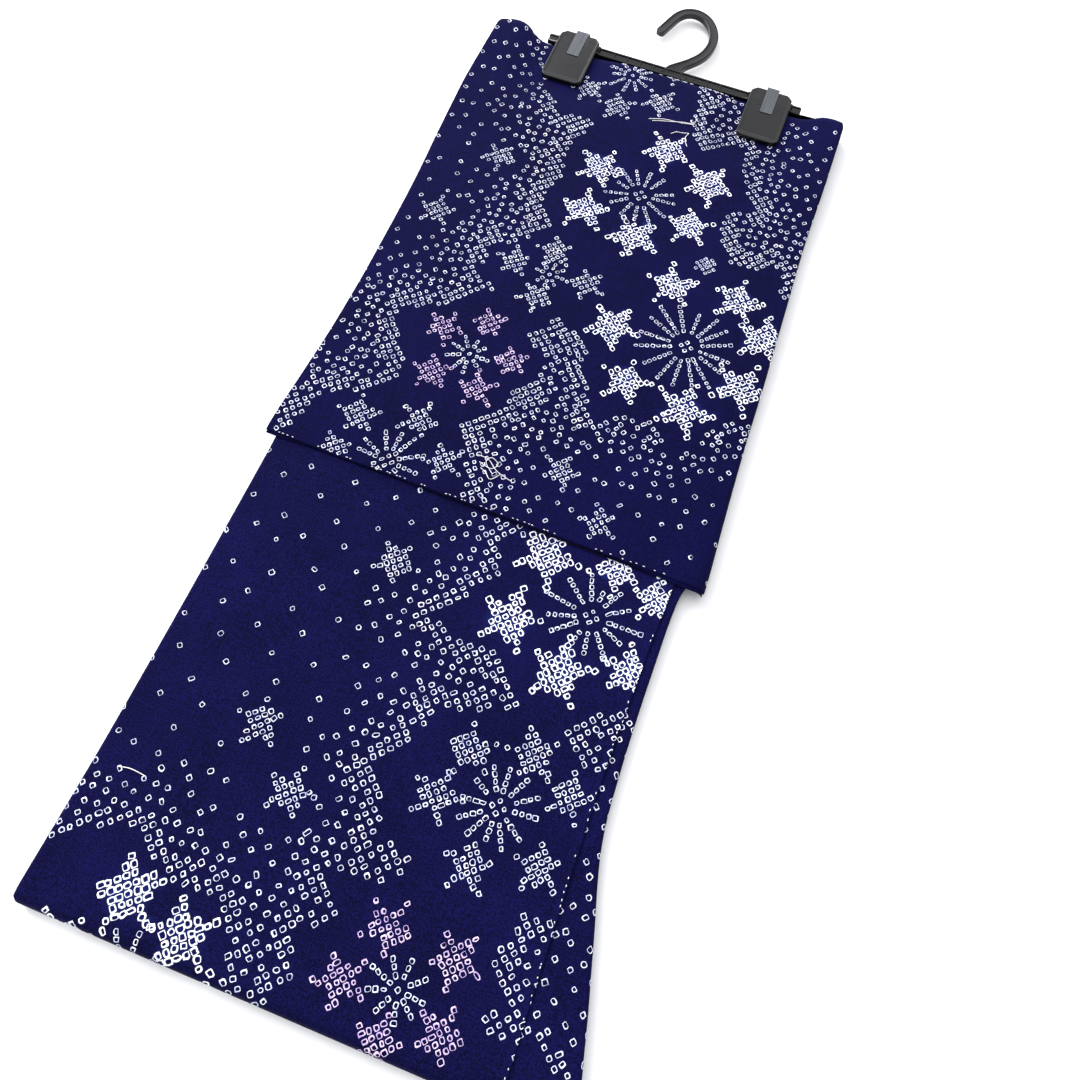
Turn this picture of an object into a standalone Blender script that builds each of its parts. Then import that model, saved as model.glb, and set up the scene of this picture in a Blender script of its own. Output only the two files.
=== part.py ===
"""A women's cotton yukata, folded in a long packet and gripped by a plastic clip hanger.

The robe is folded down its centre back, the left sleeve is laid back over the body, and the body
is folded in half, so that the back panel shows below the sleeve, turns round the fold at the
bottom and comes back underneath to its hem. The packet lies on a flat surface.

X runs across the packet, +Y runs towards the hanger's hook and +Z is up. The origin is on the
surface, under the middle of the packet. "run" is the way down the packet from the shoulder fold.
"""

import math
from collections import namedtuple

import bmesh
import bpy
from mathutils import Vector

# ---------------------------------------------------------------- driving dimensions, in metres
FOLDED_LENGTH = 0.840       # shoulder fold to half-length fold: a robe 1.66 m long
SLEEVE_DROP = 0.488         # shoulder fold to the sleeve's lower edge
SLEEVE_SKEW = 0.0176        # how much further the right-hand side of the sleeve reaches, per metre
HEM_RUN = 0.021             # where the hem lies on the underside

GAP = 0.0003                # air between two pieces that lie on each other
PANEL_WALL = 0.0015         # back panel with its backing of seam turnings
STRIP_WALL = 0.0010         # front panel beside the seam
SLEEVE_WALL = 0.0024        # the sleeve's two plies
SHOULDER_ROLL = 0.0080      # radius of the rounded shoulder end, outside the sleeve
SLEEVE_EDGE_ROLL = 0.0026   # radius of the sleeve's cuff and lower edges
PANEL_ROLL = 0.0035         # radius at which the body panels turn down at the sides
FOLD_HEIGHT = 0.0124        # thickness of the packet at the half-length fold
CORE_PLEATS = 4             # bundles of hidden layers that show at the sides
PLEAT_GROOVE = 0.0011       # depth of the grooves between the bundles
PLEAT_WANDER = 0.0009       # how far the bundles' edges stray
PLEAT_SWAY = 23.0           # how quickly they stray down the packet, radians per metre
CORE_END_INSET = 0.0008     # rounding of the hidden layers' shoulder end
CORE_END_RUN = 0.0012
COLUMN_CLEARANCE = 0.004    # least distance from a wall's edge to its next line of points

HANGER_X = 0.004            # middle of the hanger, across the packet
CLIP_SPREAD = 0.097         # middle of the hanger to the middle of each clip
JAW_WIDTH = 0.040
JAW_THICKNESS = 0.0030
JAW_REACH = 0.050           # how far down the cloth the jaws grip
JAW_TAIL = 0.016            # how far the jaws stand above the shoulder fold
JAW_LIP = 0.0010            # raised lip along the front jaw's lower edge
JAW_CHAMFER = 0.0006
JAW_CORNER = 0.007          # radius of the jaws' lower corners
JAW_TAIL_TAPER = 0.004      # how much narrower each side of the jaw's tail end is
JAW_TAPER_RUN = 0.003
GRIP_MARGIN = 0.002         # how far beside a jaw the packet is still squeezed level
GRIP_TRAIL = 0.003          # how far below a jaw it is still squeezed level
GRIP_THICKNESS = 0.0090     # the packet where the clips squeeze it
PINCH_SPREAD = 0.032        # how far beside a jaw the squeeze is felt
PINCH_TRAIL = 0.060         # how far below a jaw the squeeze is felt
LIFT_START = 0.070          # the jaws lift the packet's end as far as here
LIFT_END = 0.150            # and from here on it lies on the surface

BAR_LENGTH = 0.256
BAR_LOW = 0.0015            # lower edge of the bar above the shoulder fold
BAR_HEIGHT = 0.010
BAR_THICKNESS = 0.0070
BAR_CHANNEL = 0.0014        # depth of the channel along each face of the bar
PAD_MARGIN = 0.001          # how far the bar's pads stand out beside the jaws
PAD_RAMP = 0.0015           # length of the slope at each end of a pad
PAD_CHANNEL = 0.0003
BAR_RIM = 0.0018            # width of the ridge on each side of the bar's channel
HOOK_WIDTH = 0.0090
HOOK_THICKNESS = 0.0050
HOOK_CHANNEL = 0.0007       # depth of the channel along each face of the hook
HOOK_RIM = 0.0016
HOOK_TIP = 0.0024           # length of the rounding at the hook's tip
TIP_TAPER = {0: 0.45, 1: 0.82}   # share of the hook's width at the last two sections
HOOK_STEPS = 40
NECK_STEPS = 8
NECK_WIDTH = 0.030          # where the neck leaves the bar
NECK_TAPER = 2.5            # how quickly it narrows to the hook's width
NECK_STEP = 0.0002          # how far the neck's faces lie below the bar's
SPRING_WIDTH = 0.012
SPRING_SHEET = 0.0008
SPRING_LEG = 0.014          # how far down the jaws the spring's legs reach
SPRING_RECESS = 0.0012      # depth of the recess that each leg lies in
SPRING_CLEARANCE = 0.0001   # from the surface, and from the front jaws' faces
SPRING_BEND_STEPS = 8

# ---------------------------------------------------------------- tables down the packet
SleeveRow = namedtuple("SleeveRow", "run left right roll")
SLEEVE_ROWS = (
    SleeveRow(run=0.000, left=-0.1725, right=0.1730, roll=0.0026),
    SleeveRow(run=0.075, left=-0.1765, right=0.1740, roll=0.0026),
    SleeveRow(run=0.150, left=-0.1735, right=0.1730, roll=0.0026),
    SleeveRow(run=0.225, left=-0.1700, right=0.1748, roll=0.0030),
    SleeveRow(run=0.300, left=-0.1702, right=0.1762, roll=0.0036),
    SleeveRow(run=0.370, left=-0.1708, right=0.1768, roll=0.0046),
    SleeveRow(run=0.430, left=-0.1742, right=0.1786, roll=0.0062),
    SleeveRow(run=0.488, left=-0.1730, right=0.1806, roll=0.0080),
)

BodyRow = namedtuple("BodyRow", "run left seam right height")
BODY_ROWS = (
    BodyRow(run=0.000, left=-0.1715, seam=0.1560, right=0.1725, height=0.0092),
    BodyRow(run=0.080, left=-0.1725, seam=0.1560, right=0.1722, height=0.0108),
    BodyRow(run=0.200, left=-0.1720, seam=0.1565, right=0.1722, height=0.0120),
    BodyRow(run=0.400, left=-0.1715, seam=0.1570, right=0.1725, height=0.0128),
    BodyRow(run=0.480, left=-0.1715, seam=0.1568, right=0.1722, height=0.0126),
    BodyRow(run=0.502, left=-0.1720, seam=0.1566, right=0.1642, height=0.0114),
    BodyRow(run=0.560, left=-0.1722, seam=0.1536, right=0.1628, height=0.0106),
    BodyRow(run=0.630, left=-0.1718, seam=0.1508, right=0.1630, height=0.0104),
    BodyRow(run=0.680, left=-0.1715, seam=0.1500, right=0.1662, height=0.0106),
    BodyRow(run=0.740, left=-0.1718, seam=0.1512, right=0.1808, height=0.0110),
    BodyRow(run=0.790, left=-0.1724, seam=0.1538, right=0.1930, height=0.0118),
    BodyRow(run=0.840, left=-0.1730, seam=0.1552, right=0.2020, height=FOLD_HEIGHT),
)

TOP_RUNS = (0.008, 0.030, 0.053, 0.075, 0.100, 0.130, 0.165, 0.220, 0.290, 0.360, 0.420, 0.460)
SLEEVE_END_RUNS = (0.4854,)
BODY_END_RUNS = (0.484, 0.500, 0.530, 0.575, 0.620, 0.660, 0.690, 0.720, 0.755, 0.790, 0.815)

HookPoint = namedtuple("HookPoint", "across up")
HOOK_ROUTE = (
    HookPoint(across=0.0000, up=0.0040),
    HookPoint(across=0.0004, up=0.0130),
    HookPoint(across=0.0060, up=0.0220),
    HookPoint(across=0.0140, up=0.0310),
    HookPoint(across=0.0210, up=0.0410),
    HookPoint(across=0.0250, up=0.0520),
    HookPoint(across=0.0262, up=0.0640),
    HookPoint(across=0.0240, up=0.0760),
    HookPoint(across=0.0185, up=0.0870),
    HookPoint(across=0.0105, up=0.0950),
    HookPoint(across=0.0005, up=0.0985),
    HookPoint(across=-0.0090, up=0.0960),
    HookPoint(across=-0.0160, up=0.0890),
    HookPoint(across=-0.0205, up=0.0790),
    HookPoint(across=-0.0240, up=0.0690),
    HookPoint(across=-0.0275, up=0.0590),
)

# ---------------------------------------------------------------- sizes worked out from those
SHOULDER_Y = FOLDED_LENGTH / 2
FOLD_RADIUS = FOLD_HEIGHT / 2
FOLD_RUN = FOLDED_LENGTH - FOLD_RADIUS
CORE_INSET = PANEL_WALL + GAP
JAW_LIFT = JAW_THICKNESS + GAP
GRIP_BODY = GRIP_THICKNESS - SLEEVE_WALL - GAP
FRONT_JAW_LOW = JAW_LIFT + GRIP_THICKNESS + GAP
GRIP_MIDDLE = JAW_LIFT + GRIP_THICKNESS / 2
CORE_ROUND = PANEL_ROLL - PANEL_WALL - GAP
CLIP_CENTRES = {"left": HANGER_X - CLIP_SPREAD, "right": HANGER_X + CLIP_SPREAD}
GRIP_HALF_WIDTH = JAW_WIDTH / 2 + GRIP_MARGIN
INNER_COLUMNS = (
    CLIP_CENTRES["left"] - GRIP_HALF_WIDTH - PINCH_SPREAD, -0.130,
    CLIP_CENTRES["left"] - GRIP_HALF_WIDTH, CLIP_CENTRES["left"],
    CLIP_CENTRES["left"] + GRIP_HALF_WIDTH,
    -0.035, 0.004, 0.043,
    CLIP_CENTRES["right"] - GRIP_HALF_WIDTH, CLIP_CENTRES["right"],
    CLIP_CENTRES["right"] + GRIP_HALF_WIDTH,
    0.139, CLIP_CENTRES["right"] + GRIP_HALF_WIDTH + PINCH_SPREAD,
)


# ---------------------------------------------------------------- small tools
def clear_scene():
    """Remove the objects that the file opened with."""
    for thing in list(bpy.data.objects):
        bpy.data.objects.remove(thing, do_unlink=True)


def smoothstep(value, low, high):
    """0 at low, 1 at high, level at both ends."""
    share = min(max((value - low) / (high - low), 0.0), 1.0)
    return share * share * (3.0 - 2.0 * share)


def hermite(share, start, end, start_slope, end_slope):
    """A cubic from start to end with the given slopes, both over the whole stretch."""
    square = share * share
    cube = square * share
    return ((2 * cube - 3 * square + 1) * start + (cube - 2 * square + share) * start_slope
            + (3 * square - 2 * cube) * end + (cube - square) * end_slope)


def table_value(rows, column, run):
    """Read one column of a table at a run, on a smooth curve through its rows."""
    runs = [row.run for row in rows]
    values = [getattr(row, column) for row in rows]
    if run <= runs[0]:
        return values[0]
    if run >= runs[-1]:
        return values[-1]
    after = next(index for index, known in enumerate(runs) if known > run)
    before = after - 1

    def slope(index):
        if index in (0, len(rows) - 1):
            return 0.0
        return (values[index + 1] - values[index - 1]) / (runs[index + 1] - runs[index - 1])

    width = runs[after] - runs[before]
    return hermite((run - runs[before]) / width, values[before], values[after],
                   slope(before) * width, slope(after) * width)


def smooth_route(points, steps):
    """Points spread evenly by parameter on a smooth curve through the route's own points."""
    last = len(points) - 1
    route = []
    for step in range(steps + 1):
        place = step / steps * last
        index = min(int(place), last - 1)
        share = place - index
        ends = points[index], points[index + 1]
        slopes = [
            (points[min(near + 1, last)] - points[max(near - 1, 0)]) / 2
            for near in (index, index + 1)
        ]
        route.append(Vector(
            hermite(share, ends[0][axis], ends[1][axis], slopes[0][axis], slopes[1][axis])
            for axis in range(3)))
    return route


def material(name, colour, roughness, metallic=0.0):
    """A Principled material with the part's colour."""
    made = bpy.data.materials.new(name)
    made.use_nodes = True
    shader = made.node_tree.nodes["Principled BSDF"]
    shader.inputs["Base Color"].default_value = (*colour, 1.0)
    shader.inputs["Roughness"].default_value = roughness
    shader.inputs["Metallic"].default_value = metallic
    return made


def mesh_object(name, points, faces, finish, smooth_angle=None):
    """An object from points and faces, with its faces turned outwards."""
    mesh = bpy.data.meshes.new(name)
    mesh.from_pydata(points, [], faces)
    shape = bmesh.new()
    shape.from_mesh(mesh)
    bmesh.ops.recalc_face_normals(shape, faces=shape.faces)
    shape.to_mesh(mesh)
    shape.free()
    if smooth_angle is not None:
        mesh.shade_smooth()
        mesh.set_sharp_from_angle(angle=math.radians(smooth_angle))
    mesh.materials.append(finish)
    made = bpy.data.objects.new(name, mesh)
    bpy.context.scene.collection.objects.link(made)
    return made


def lofted(name, sections, finish, smooth_angle=None):
    """Skin a row of closed sections that have equally many points, and cap both ends."""
    around = len(sections[0])
    points = [point for section in sections for point in section]
    faces = []
    for row in range(len(sections) - 1):
        for side in range(around):
            near, far = row * around, (row + 1) * around
            turn = (side + 1) % around
            faces.append((near + turn, far + turn, far + side))
            faces.append((near + turn, far + side, near + side))
    faces.append(tuple(range(around)))
    faces.append(tuple(range((len(sections) - 1) * around, len(sections) * around)))
    return mesh_object(name, points, faces, finish, smooth_angle)


def walled(name, outer, inner, finish):
    """A wall of cloth between an outer and an inner grid of points."""
    rows, columns = len(outer), len(outer[0])
    points = [point for row in outer for point in row] + [point for row in inner for point in row]
    back = rows * columns

    def at(row, column):
        return row * columns + column

    faces = []
    for row in range(rows - 1):
        for column in range(columns - 1):
            corner, opposite = at(row, column), at(row + 1, column + 1)
            for face in ((corner, at(row, column + 1), opposite),
                         (corner, opposite, at(row + 1, column))):
                faces.append(face)
                faces.append(tuple(back + index for index in reversed(face)))
    border = [at(0, column) for column in range(columns)]
    border += [at(row, columns - 1) for row in range(1, rows)]
    border += [at(rows - 1, column) for column in reversed(range(columns - 1))]
    border += [at(row, 0) for row in reversed(range(1, rows - 1))]
    for place, index in enumerate(border):
        following = border[(place + 1) % len(border)]
        faces.append((index, back + index, back + following, following))
    return mesh_object(name, points, faces, finish, smooth_angle=50)


# ---------------------------------------------------------------- how high the layers lie
def lift(run):
    """Height of the packet's underside over the surface: the clips' back jaws lie under it."""
    return JAW_LIFT * (1.0 - smoothstep(run, LIFT_START, LIFT_END))


def pinch(across, run):
    """1 under a clip's jaws, falling to 0 beside and below them."""
    beside = max(
        1.0 - smoothstep(abs(across - centre), GRIP_HALF_WIDTH, GRIP_HALF_WIDTH + PINCH_SPREAD)
        for centre in CLIP_CENTRES.values())
    below = 1.0 - smoothstep(run, JAW_REACH + GRIP_TRAIL, JAW_REACH + PINCH_TRAIL)
    return beside * below


def body_top(across, run):
    """Height of the body panels' outer face over the surface."""
    free = table_value(BODY_ROWS, "height", run)
    squeezed = pinch(across, run)
    return lift(run) + free * (1.0 - squeezed) + GRIP_BODY * squeezed


def sleeve_top(across, run):
    """Height of the sleeve's outer face over the surface."""
    return body_top(across, run) + GAP + SLEEVE_WALL


# ---------------------------------------------------------------- rows of a wall of cloth
# A row gives, for a place across the packet, its run, its height, and the outward direction
# of the cloth there as its share along Y and along Z.
def flat_row(run, height_at):
    """A row on top of the packet."""
    return lambda across: (run, height_at(across, run), 0.0, 1.0)


def turned_row(run, radius, angle, towards, height_at):
    """A row on a rounded edge that turns down, towards +1 the shoulder or -1 the bottom."""
    def frame(across):
        height = height_at(across, run) - radius + radius * math.cos(angle)
        return (run - towards * radius * math.sin(angle), height,
                towards * math.sin(angle), math.cos(angle))
    return frame


def fold_row(radius, angle):
    """A row round the half-length fold, from the top at angle 0 to the underside at 180."""
    def frame(_across):
        return (FOLD_RUN + radius * math.sin(angle), FOLD_RADIUS + radius * math.cos(angle),
                -math.sin(angle), math.cos(angle))
    return frame


def under_row(run, depth):
    """A row on the underside, a depth above the outer face of the back panel."""
    return lambda _across: (run, lift(run) + depth, 0.0, -1.0)


def cloth_point(across, frame, depth):
    """The point that lies a depth under the cloth's outer face."""
    run, height, outward_y, outward_z = frame
    return Vector((across, SHOULDER_Y - run - depth * outward_y, height - depth * outward_z))


Column = namedtuple("Column", "flat outer outer_depth inner inner_depth")


def flat_column(across, wall):
    """A column where the wall lies level."""
    return Column(across, across, 0.0, across, wall)


def turned_columns(edge, radius, wall, side, steps=3):
    """Columns where the wall turns down at its edge, from level to upright."""
    centre = edge - side * radius
    columns = []
    for step in range(1, steps + 1):
        angle = math.radians(90.0) * step / steps
        columns.append(Column(
            centre,
            centre + side * radius * math.sin(angle),
            radius * (1.0 - math.cos(angle)),
            centre + side * (radius - wall) * math.sin(angle),
            radius - (radius - wall) * math.cos(angle)))
    return columns


def cloth_wall(name, rows, columns_at, finish):
    """A wall of cloth from its rows and from a function that gives its columns at a run."""
    outer, inner = [], []
    for row in rows:
        columns = columns_at(row(0.0)[0])
        outer.append([cloth_point(c.outer, row(c.flat), c.outer_depth) for c in columns])
        inner.append([cloth_point(c.inner, row(c.flat), c.inner_depth) for c in columns])
    return walled(name, outer, inner, finish)


def between(low, high):
    """The shared columns that lie clear between two edges."""
    return [across for across in INNER_COLUMNS
            if low + COLUMN_CLEARANCE < across < high - COLUMN_CLEARANCE]


# ---------------------------------------------------------------- the robe
def make_sleeve(finish):
    """The left sleeve, laid back over the body, its shoulder edge rolled over the packet's end."""
    def columns_at(run):
        left = table_value(SLEEVE_ROWS, "left", run)
        right = table_value(SLEEVE_ROWS, "right", run)
        roll = table_value(SLEEVE_ROWS, "roll", run)
        level = [left + SLEEVE_EDGE_ROLL] + between(left, right - roll) + [right - roll]
        columns = list(reversed(turned_columns(left, SLEEVE_EDGE_ROLL, SLEEVE_WALL, -1, 2)))
        columns += [flat_column(across, SLEEVE_WALL) for across in level]
        return columns + turned_columns(right, roll, SLEEVE_WALL, 1, 4)

    def skewed(row):
        def frame(across):
            run, height, outward_y, outward_z = row(across)
            return run * (1.0 + SLEEVE_SKEW * across), height, outward_y, outward_z
        return frame

    rows = [turned_row(SHOULDER_ROLL, SHOULDER_ROLL, math.radians(angle), 1, sleeve_top)
            for angle in (90, 68, 45, 22)]
    rows += [flat_row(run, sleeve_top) for run in TOP_RUNS + SLEEVE_END_RUNS]
    rows += [turned_row(SLEEVE_DROP - SLEEVE_EDGE_ROLL, SLEEVE_EDGE_ROLL, math.radians(angle), -1,
                        sleeve_top) for angle in (45, 90)]
    return cloth_wall("sleeve_left", [skewed(row) for row in rows], columns_at, finish)


def body_rows(depth):
    """The rows of a body panel, a depth under the outer face of the back panel."""
    radius = SHOULDER_ROLL - SLEEVE_WALL - GAP

    def height_at(across, run):
        return body_top(across, run) - depth

    rows = [turned_row(SHOULDER_ROLL, radius - depth, math.radians(angle), 1, height_at)
            for angle in (90, 60, 30)]
    rows += [flat_row(run, height_at) for run in TOP_RUNS + BODY_END_RUNS]
    rows += [fold_row(FOLD_RADIUS - depth, math.radians(angle)) for angle in range(0, 181, 20)]
    rows += [under_row(run, depth)
             for run in reversed((HEM_RUN,) + TOP_RUNS[1:] + BODY_END_RUNS)]
    return rows


def make_back_panel(finish):
    """The left back panel: over the packet, round the half-length fold and back underneath."""
    def columns_at(run):
        left = table_value(BODY_ROWS, "left", run)
        seam = table_value(BODY_ROWS, "seam", run)
        level = [left + PANEL_ROLL] + between(left + PANEL_ROLL, seam) + [seam]
        columns = list(reversed(turned_columns(left, PANEL_ROLL, PANEL_WALL, -1)))
        return columns + [flat_column(across, PANEL_WALL) for across in level]

    return cloth_wall("body_back_left", body_rows(0.0), columns_at, finish)


def make_front_strip(finish):
    """The edge of the left front panel, beside the side seam."""
    step = PANEL_WALL - STRIP_WALL

    def columns_at(run):
        seam = table_value(BODY_ROWS, "seam", run)
        right = table_value(BODY_ROWS, "right", run) - step
        roll = min(PANEL_ROLL - step, right - seam - 0.002)
        level = [seam + GAP, right - roll]
        return ([flat_column(across, STRIP_WALL) for across in level]
                + turned_columns(right, roll, STRIP_WALL, 1))

    return cloth_wall("body_front_left", body_rows(step), columns_at, finish)


def side_profile(height, run):
    """Insets and heights up the side of the hidden layers: rounded edges and bundled folds."""
    radius = min(CORE_ROUND, 0.3 * height)
    turn = 1.0 - math.sqrt(0.5)
    profile = [(radius, 0.0), (radius * turn, radius * turn), (0.0, radius)]
    bundle = (height - 2 * radius) / CORE_PLEATS
    groove = min(PLEAT_GROOVE, 0.6 * bundle)
    for pleat in range(1, CORE_PLEATS):
        wander = PLEAT_WANDER * (0.5 + 0.5 * math.sin(2.1 * pleat + PLEAT_SWAY * run))
        stray = wander * groove / PLEAT_GROOVE
        middle = radius + bundle * pleat
        profile += [(stray, middle - 0.32 * bundle), (stray + groove, middle),
                    (stray * 0.5, middle + 0.32 * bundle)]
    profile += [(0.0, height - radius), (radius * turn, height - radius * turn),
                (radius, height)]
    return profile


def make_hidden_layers(finish):
    """The folded-in rest of the robe as one rounded body, layered at the sides."""
    def section(run, low_at, high_at, inset=0.0):
        left = table_value(BODY_ROWS, "left", run) + CORE_INSET + inset
        right = table_value(BODY_ROWS, "right", run) - CORE_INSET - inset
        place = SHOULDER_Y - run
        points = []
        low, high = low_at(right), high_at(right)
        for inward, up in side_profile(high - low, run):
            points.append(Vector((right - inward, place, low + up)))
        columns = between(left, right)
        for across in reversed(columns):
            points.append(Vector((across, place, high_at(across))))
        low, high = low_at(left), high_at(left)
        for inward, up in reversed(side_profile(high - low, run + 0.1)):
            points.append(Vector((left + inward, place, low + up)))
        for across in columns:
            points.append(Vector((across, place, low_at(across))))
        return points

    def level_section(run, inset=0.0):
        return section(run, lambda _across: lift(run) + CORE_INSET + inset,
                       lambda across: body_top(across, run) - CORE_INSET - inset, inset)

    def fold_section(angle):
        radius = FOLD_RADIUS - CORE_INSET
        rise = radius * math.cos(angle)
        return section(FOLD_RUN + radius * math.sin(angle), lambda _across: FOLD_RADIUS - rise,
                       lambda _across: FOLD_RADIUS + rise, radius * (1.0 - math.cos(angle)) / 2)

    start = TOP_RUNS[0] + GAP
    sections = [level_section(start, CORE_END_INSET), level_section(start + CORE_END_RUN)]
    sections += [level_section(run) for run in TOP_RUNS[1:] + BODY_END_RUNS]
    sections += [fold_section(math.radians(angle)) for angle in (0, 25, 50, 74)]
    return lofted("folded_layers", sections, finish, smooth_angle=50)


# ---------------------------------------------------------------- the hanger
def chamfered(across_half, low, high, chamfer):
    """An upright rectangle with chamfered corners, as pairs of across and up."""
    return [(-across_half + chamfer, low), (across_half - chamfer, low),
            (across_half, low + chamfer), (across_half, high - chamfer),
            (across_half - chamfer, high), (-across_half + chamfer, high),
            (-across_half, high - chamfer), (-across_half, low + chamfer)]


def make_jaw(name, centre, low, front, finish):
    """One jaw of a clip: a plate with rounded lower corners, recessed for the spring's leg."""
    high = low + JAW_THICKNESS
    side = JAW_WIDTH / 2
    stations = [(-JAW_TAIL, side - JAW_TAIL_TAPER, 0.0), (-JAW_TAIL + JAW_TAPER_RUN, side, 0.0),
                (JAW_REACH - JAW_CORNER, side, 0.0)]
    for angle, lip in ((30, 0.5), (55, 1.0), (78, 0.6)):
        turn = math.radians(angle)
        stations.append((JAW_REACH - JAW_CORNER + JAW_CORNER * math.sin(turn),
                         side - JAW_CORNER + JAW_CORNER * math.cos(turn), lip))
    sections = []
    for run, half, lip in stations:
        crest = high + (JAW_LIP * lip if front else 0.0)
        sections.append([Vector((centre + across, SHOULDER_Y - run, up))
                         for across, up in chamfered(half, low, crest, JAW_CHAMFER)])
    jaw = lofted(name, sections, finish)

    face = high if front else low
    bpy.ops.mesh.primitive_cube_add(size=1.0)
    cutter = bpy.context.active_object
    cutter.name = name + "_recess"
    length = 2 * (JAW_TAIL + SPRING_LEG)
    cutter.dimensions = (SPRING_WIDTH + 2 * GAP, length, 2 * SPRING_RECESS)
    cutter.location = (centre, SHOULDER_Y - SPRING_LEG - 2 * GAP + length / 2, face)
    cutter.hide_render = True
    cutter.display_type = "WIRE"
    cut = jaw.modifiers.new("spring_recess", "BOOLEAN")
    cut.operation = "DIFFERENCE"
    cut.object = cutter
    return jaw


def swept(name, route, binormal, section_at, finish, smooth_angle=None):
    """Sweep a section along a flat route; the section is pairs of sideways and binormal."""
    sections = []
    last = len(route) - 1
    for index, point in enumerate(route):
        ahead = (route[min(index + 1, last)] - route[max(index - 1, 0)]).normalized()
        side = binormal.cross(ahead)
        sections.append([point + side * sideways + binormal * up
                         for sideways, up in section_at(index / last)])
    return lofted(name, sections, finish, smooth_angle)


def make_spring(name, centre, finish):
    """The U of spring steel that closes a clip's jaws."""
    low = SPRING_CLEARANCE + SPRING_SHEET / 2
    high = FRONT_JAW_LOW + JAW_THICKNESS - low
    radius = (high - low) / 2
    bend_y = SHOULDER_Y + JAW_TAIL + GAP + SPRING_SHEET
    route = [Vector((centre, SHOULDER_Y - SPRING_LEG, low)), Vector((centre, bend_y, low))]
    for step in range(1, SPRING_BEND_STEPS):
        angle = math.pi * step / SPRING_BEND_STEPS
        route.append(Vector((centre, bend_y + radius * math.sin(angle),
                             low + radius - radius * math.cos(angle))))
    route += [Vector((centre, bend_y, high)), Vector((centre, SHOULDER_Y - SPRING_LEG, high))]
    half = SPRING_SHEET / 2
    width = SPRING_WIDTH / 2

    def section_at(_share):
        return [(-half, -width), (half, -width), (half, width), (-half, width)]

    return swept(name, route, Vector((1.0, 0.0, 0.0)), section_at, finish)


def channelled(half_width, half_thickness, channel, rim):
    """A rectangle with rounded-off corners and a channel along both faces."""
    floor = half_thickness - channel
    chamfer = 0.25 * rim
    top = [(half_width, half_thickness - chamfer), (half_width - chamfer, half_thickness),
           (half_width - rim, half_thickness), (half_width - rim - 0.4 * channel, floor),
           (-half_width + rim + 0.4 * channel, floor), (-half_width + rim, half_thickness),
           (-half_width + chamfer, half_thickness), (-half_width, half_thickness - chamfer)]
    return top + [(-across, -up) for across, up in top]


def hook_route():
    """The middle line of the neck and hook, from inside the bar to the hook's tip."""
    points = [Vector((HANGER_X + point.across, SHOULDER_Y + point.up, GRIP_MIDDLE))
              for point in HOOK_ROUTE]
    return smooth_route(points, HOOK_STEPS)


def make_bar(finish):
    """The bar with a pad at each clip and the neck that carries the hook, in one moulding."""
    pad = JAW_WIDTH / 2 + PAD_MARGIN
    stations = [(HANGER_X - BAR_LENGTH / 2, False), (HANGER_X + BAR_LENGTH / 2, False)]
    for centre in CLIP_CENTRES.values():
        stations += [(centre - pad - PAD_RAMP, False), (centre - pad, True),
                     (centre + pad, True), (centre + pad + PAD_RAMP, False)]
    middle_y = SHOULDER_Y + BAR_LOW + BAR_HEIGHT / 2
    sections = []
    for across, on_pad in sorted(stations):
        half = (GRIP_THICKNESS if on_pad else BAR_THICKNESS) / 2
        channel = PAD_CHANNEL if on_pad else BAR_CHANNEL
        outline = channelled(BAR_HEIGHT / 2, half, channel, BAR_RIM)
        sections.append([Vector((across, middle_y + along, GRIP_MIDDLE + up))
                         for along, up in outline])
    bar = lofted("hanger_bar", sections, finish)

    route = hook_route()[:NECK_STEPS]

    def section_at(share):
        narrow = HOOK_WIDTH / 2
        half = narrow + (NECK_WIDTH / 2 - narrow) * (1.0 - share) ** NECK_TAPER
        return channelled(half, BAR_THICKNESS / 2 - NECK_STEP, HOOK_CHANNEL, HOOK_RIM)

    neck = swept("hanger_neck_blank", route, Vector((0.0, 0.0, 1.0)), section_at, finish)
    neck.hide_render = True
    neck.display_type = "WIRE"
    join = bar.modifiers.new("neck", "BOOLEAN")
    join.operation = "UNION"
    join.object = neck
    return bar


def make_hook(finish):
    """The hook, a flat moulded bar with a channel down each face and a rounded tip."""
    route = hook_route()[NECK_STEPS - 1:]
    start = (route[1] - route[0]).normalized()
    route[0] = route[0] + start * GAP
    tip = (route[-1] - route[-2]).normalized()
    route.append(route[-1] + tip * HOOK_TIP * 2 / 3)
    route.append(route[-1] + tip * HOOK_TIP / 3)

    def section_at(share):
        steps_from_tip = round((1.0 - share) * (len(route) - 1))
        half = TIP_TAPER.get(steps_from_tip, 1.0) * HOOK_WIDTH / 2
        return channelled(half, HOOK_THICKNESS / 2, HOOK_CHANNEL, HOOK_RIM)

    return swept("hanger_hook", route, Vector((0.0, 0.0, 1.0)), section_at, finish, 40)


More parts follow.
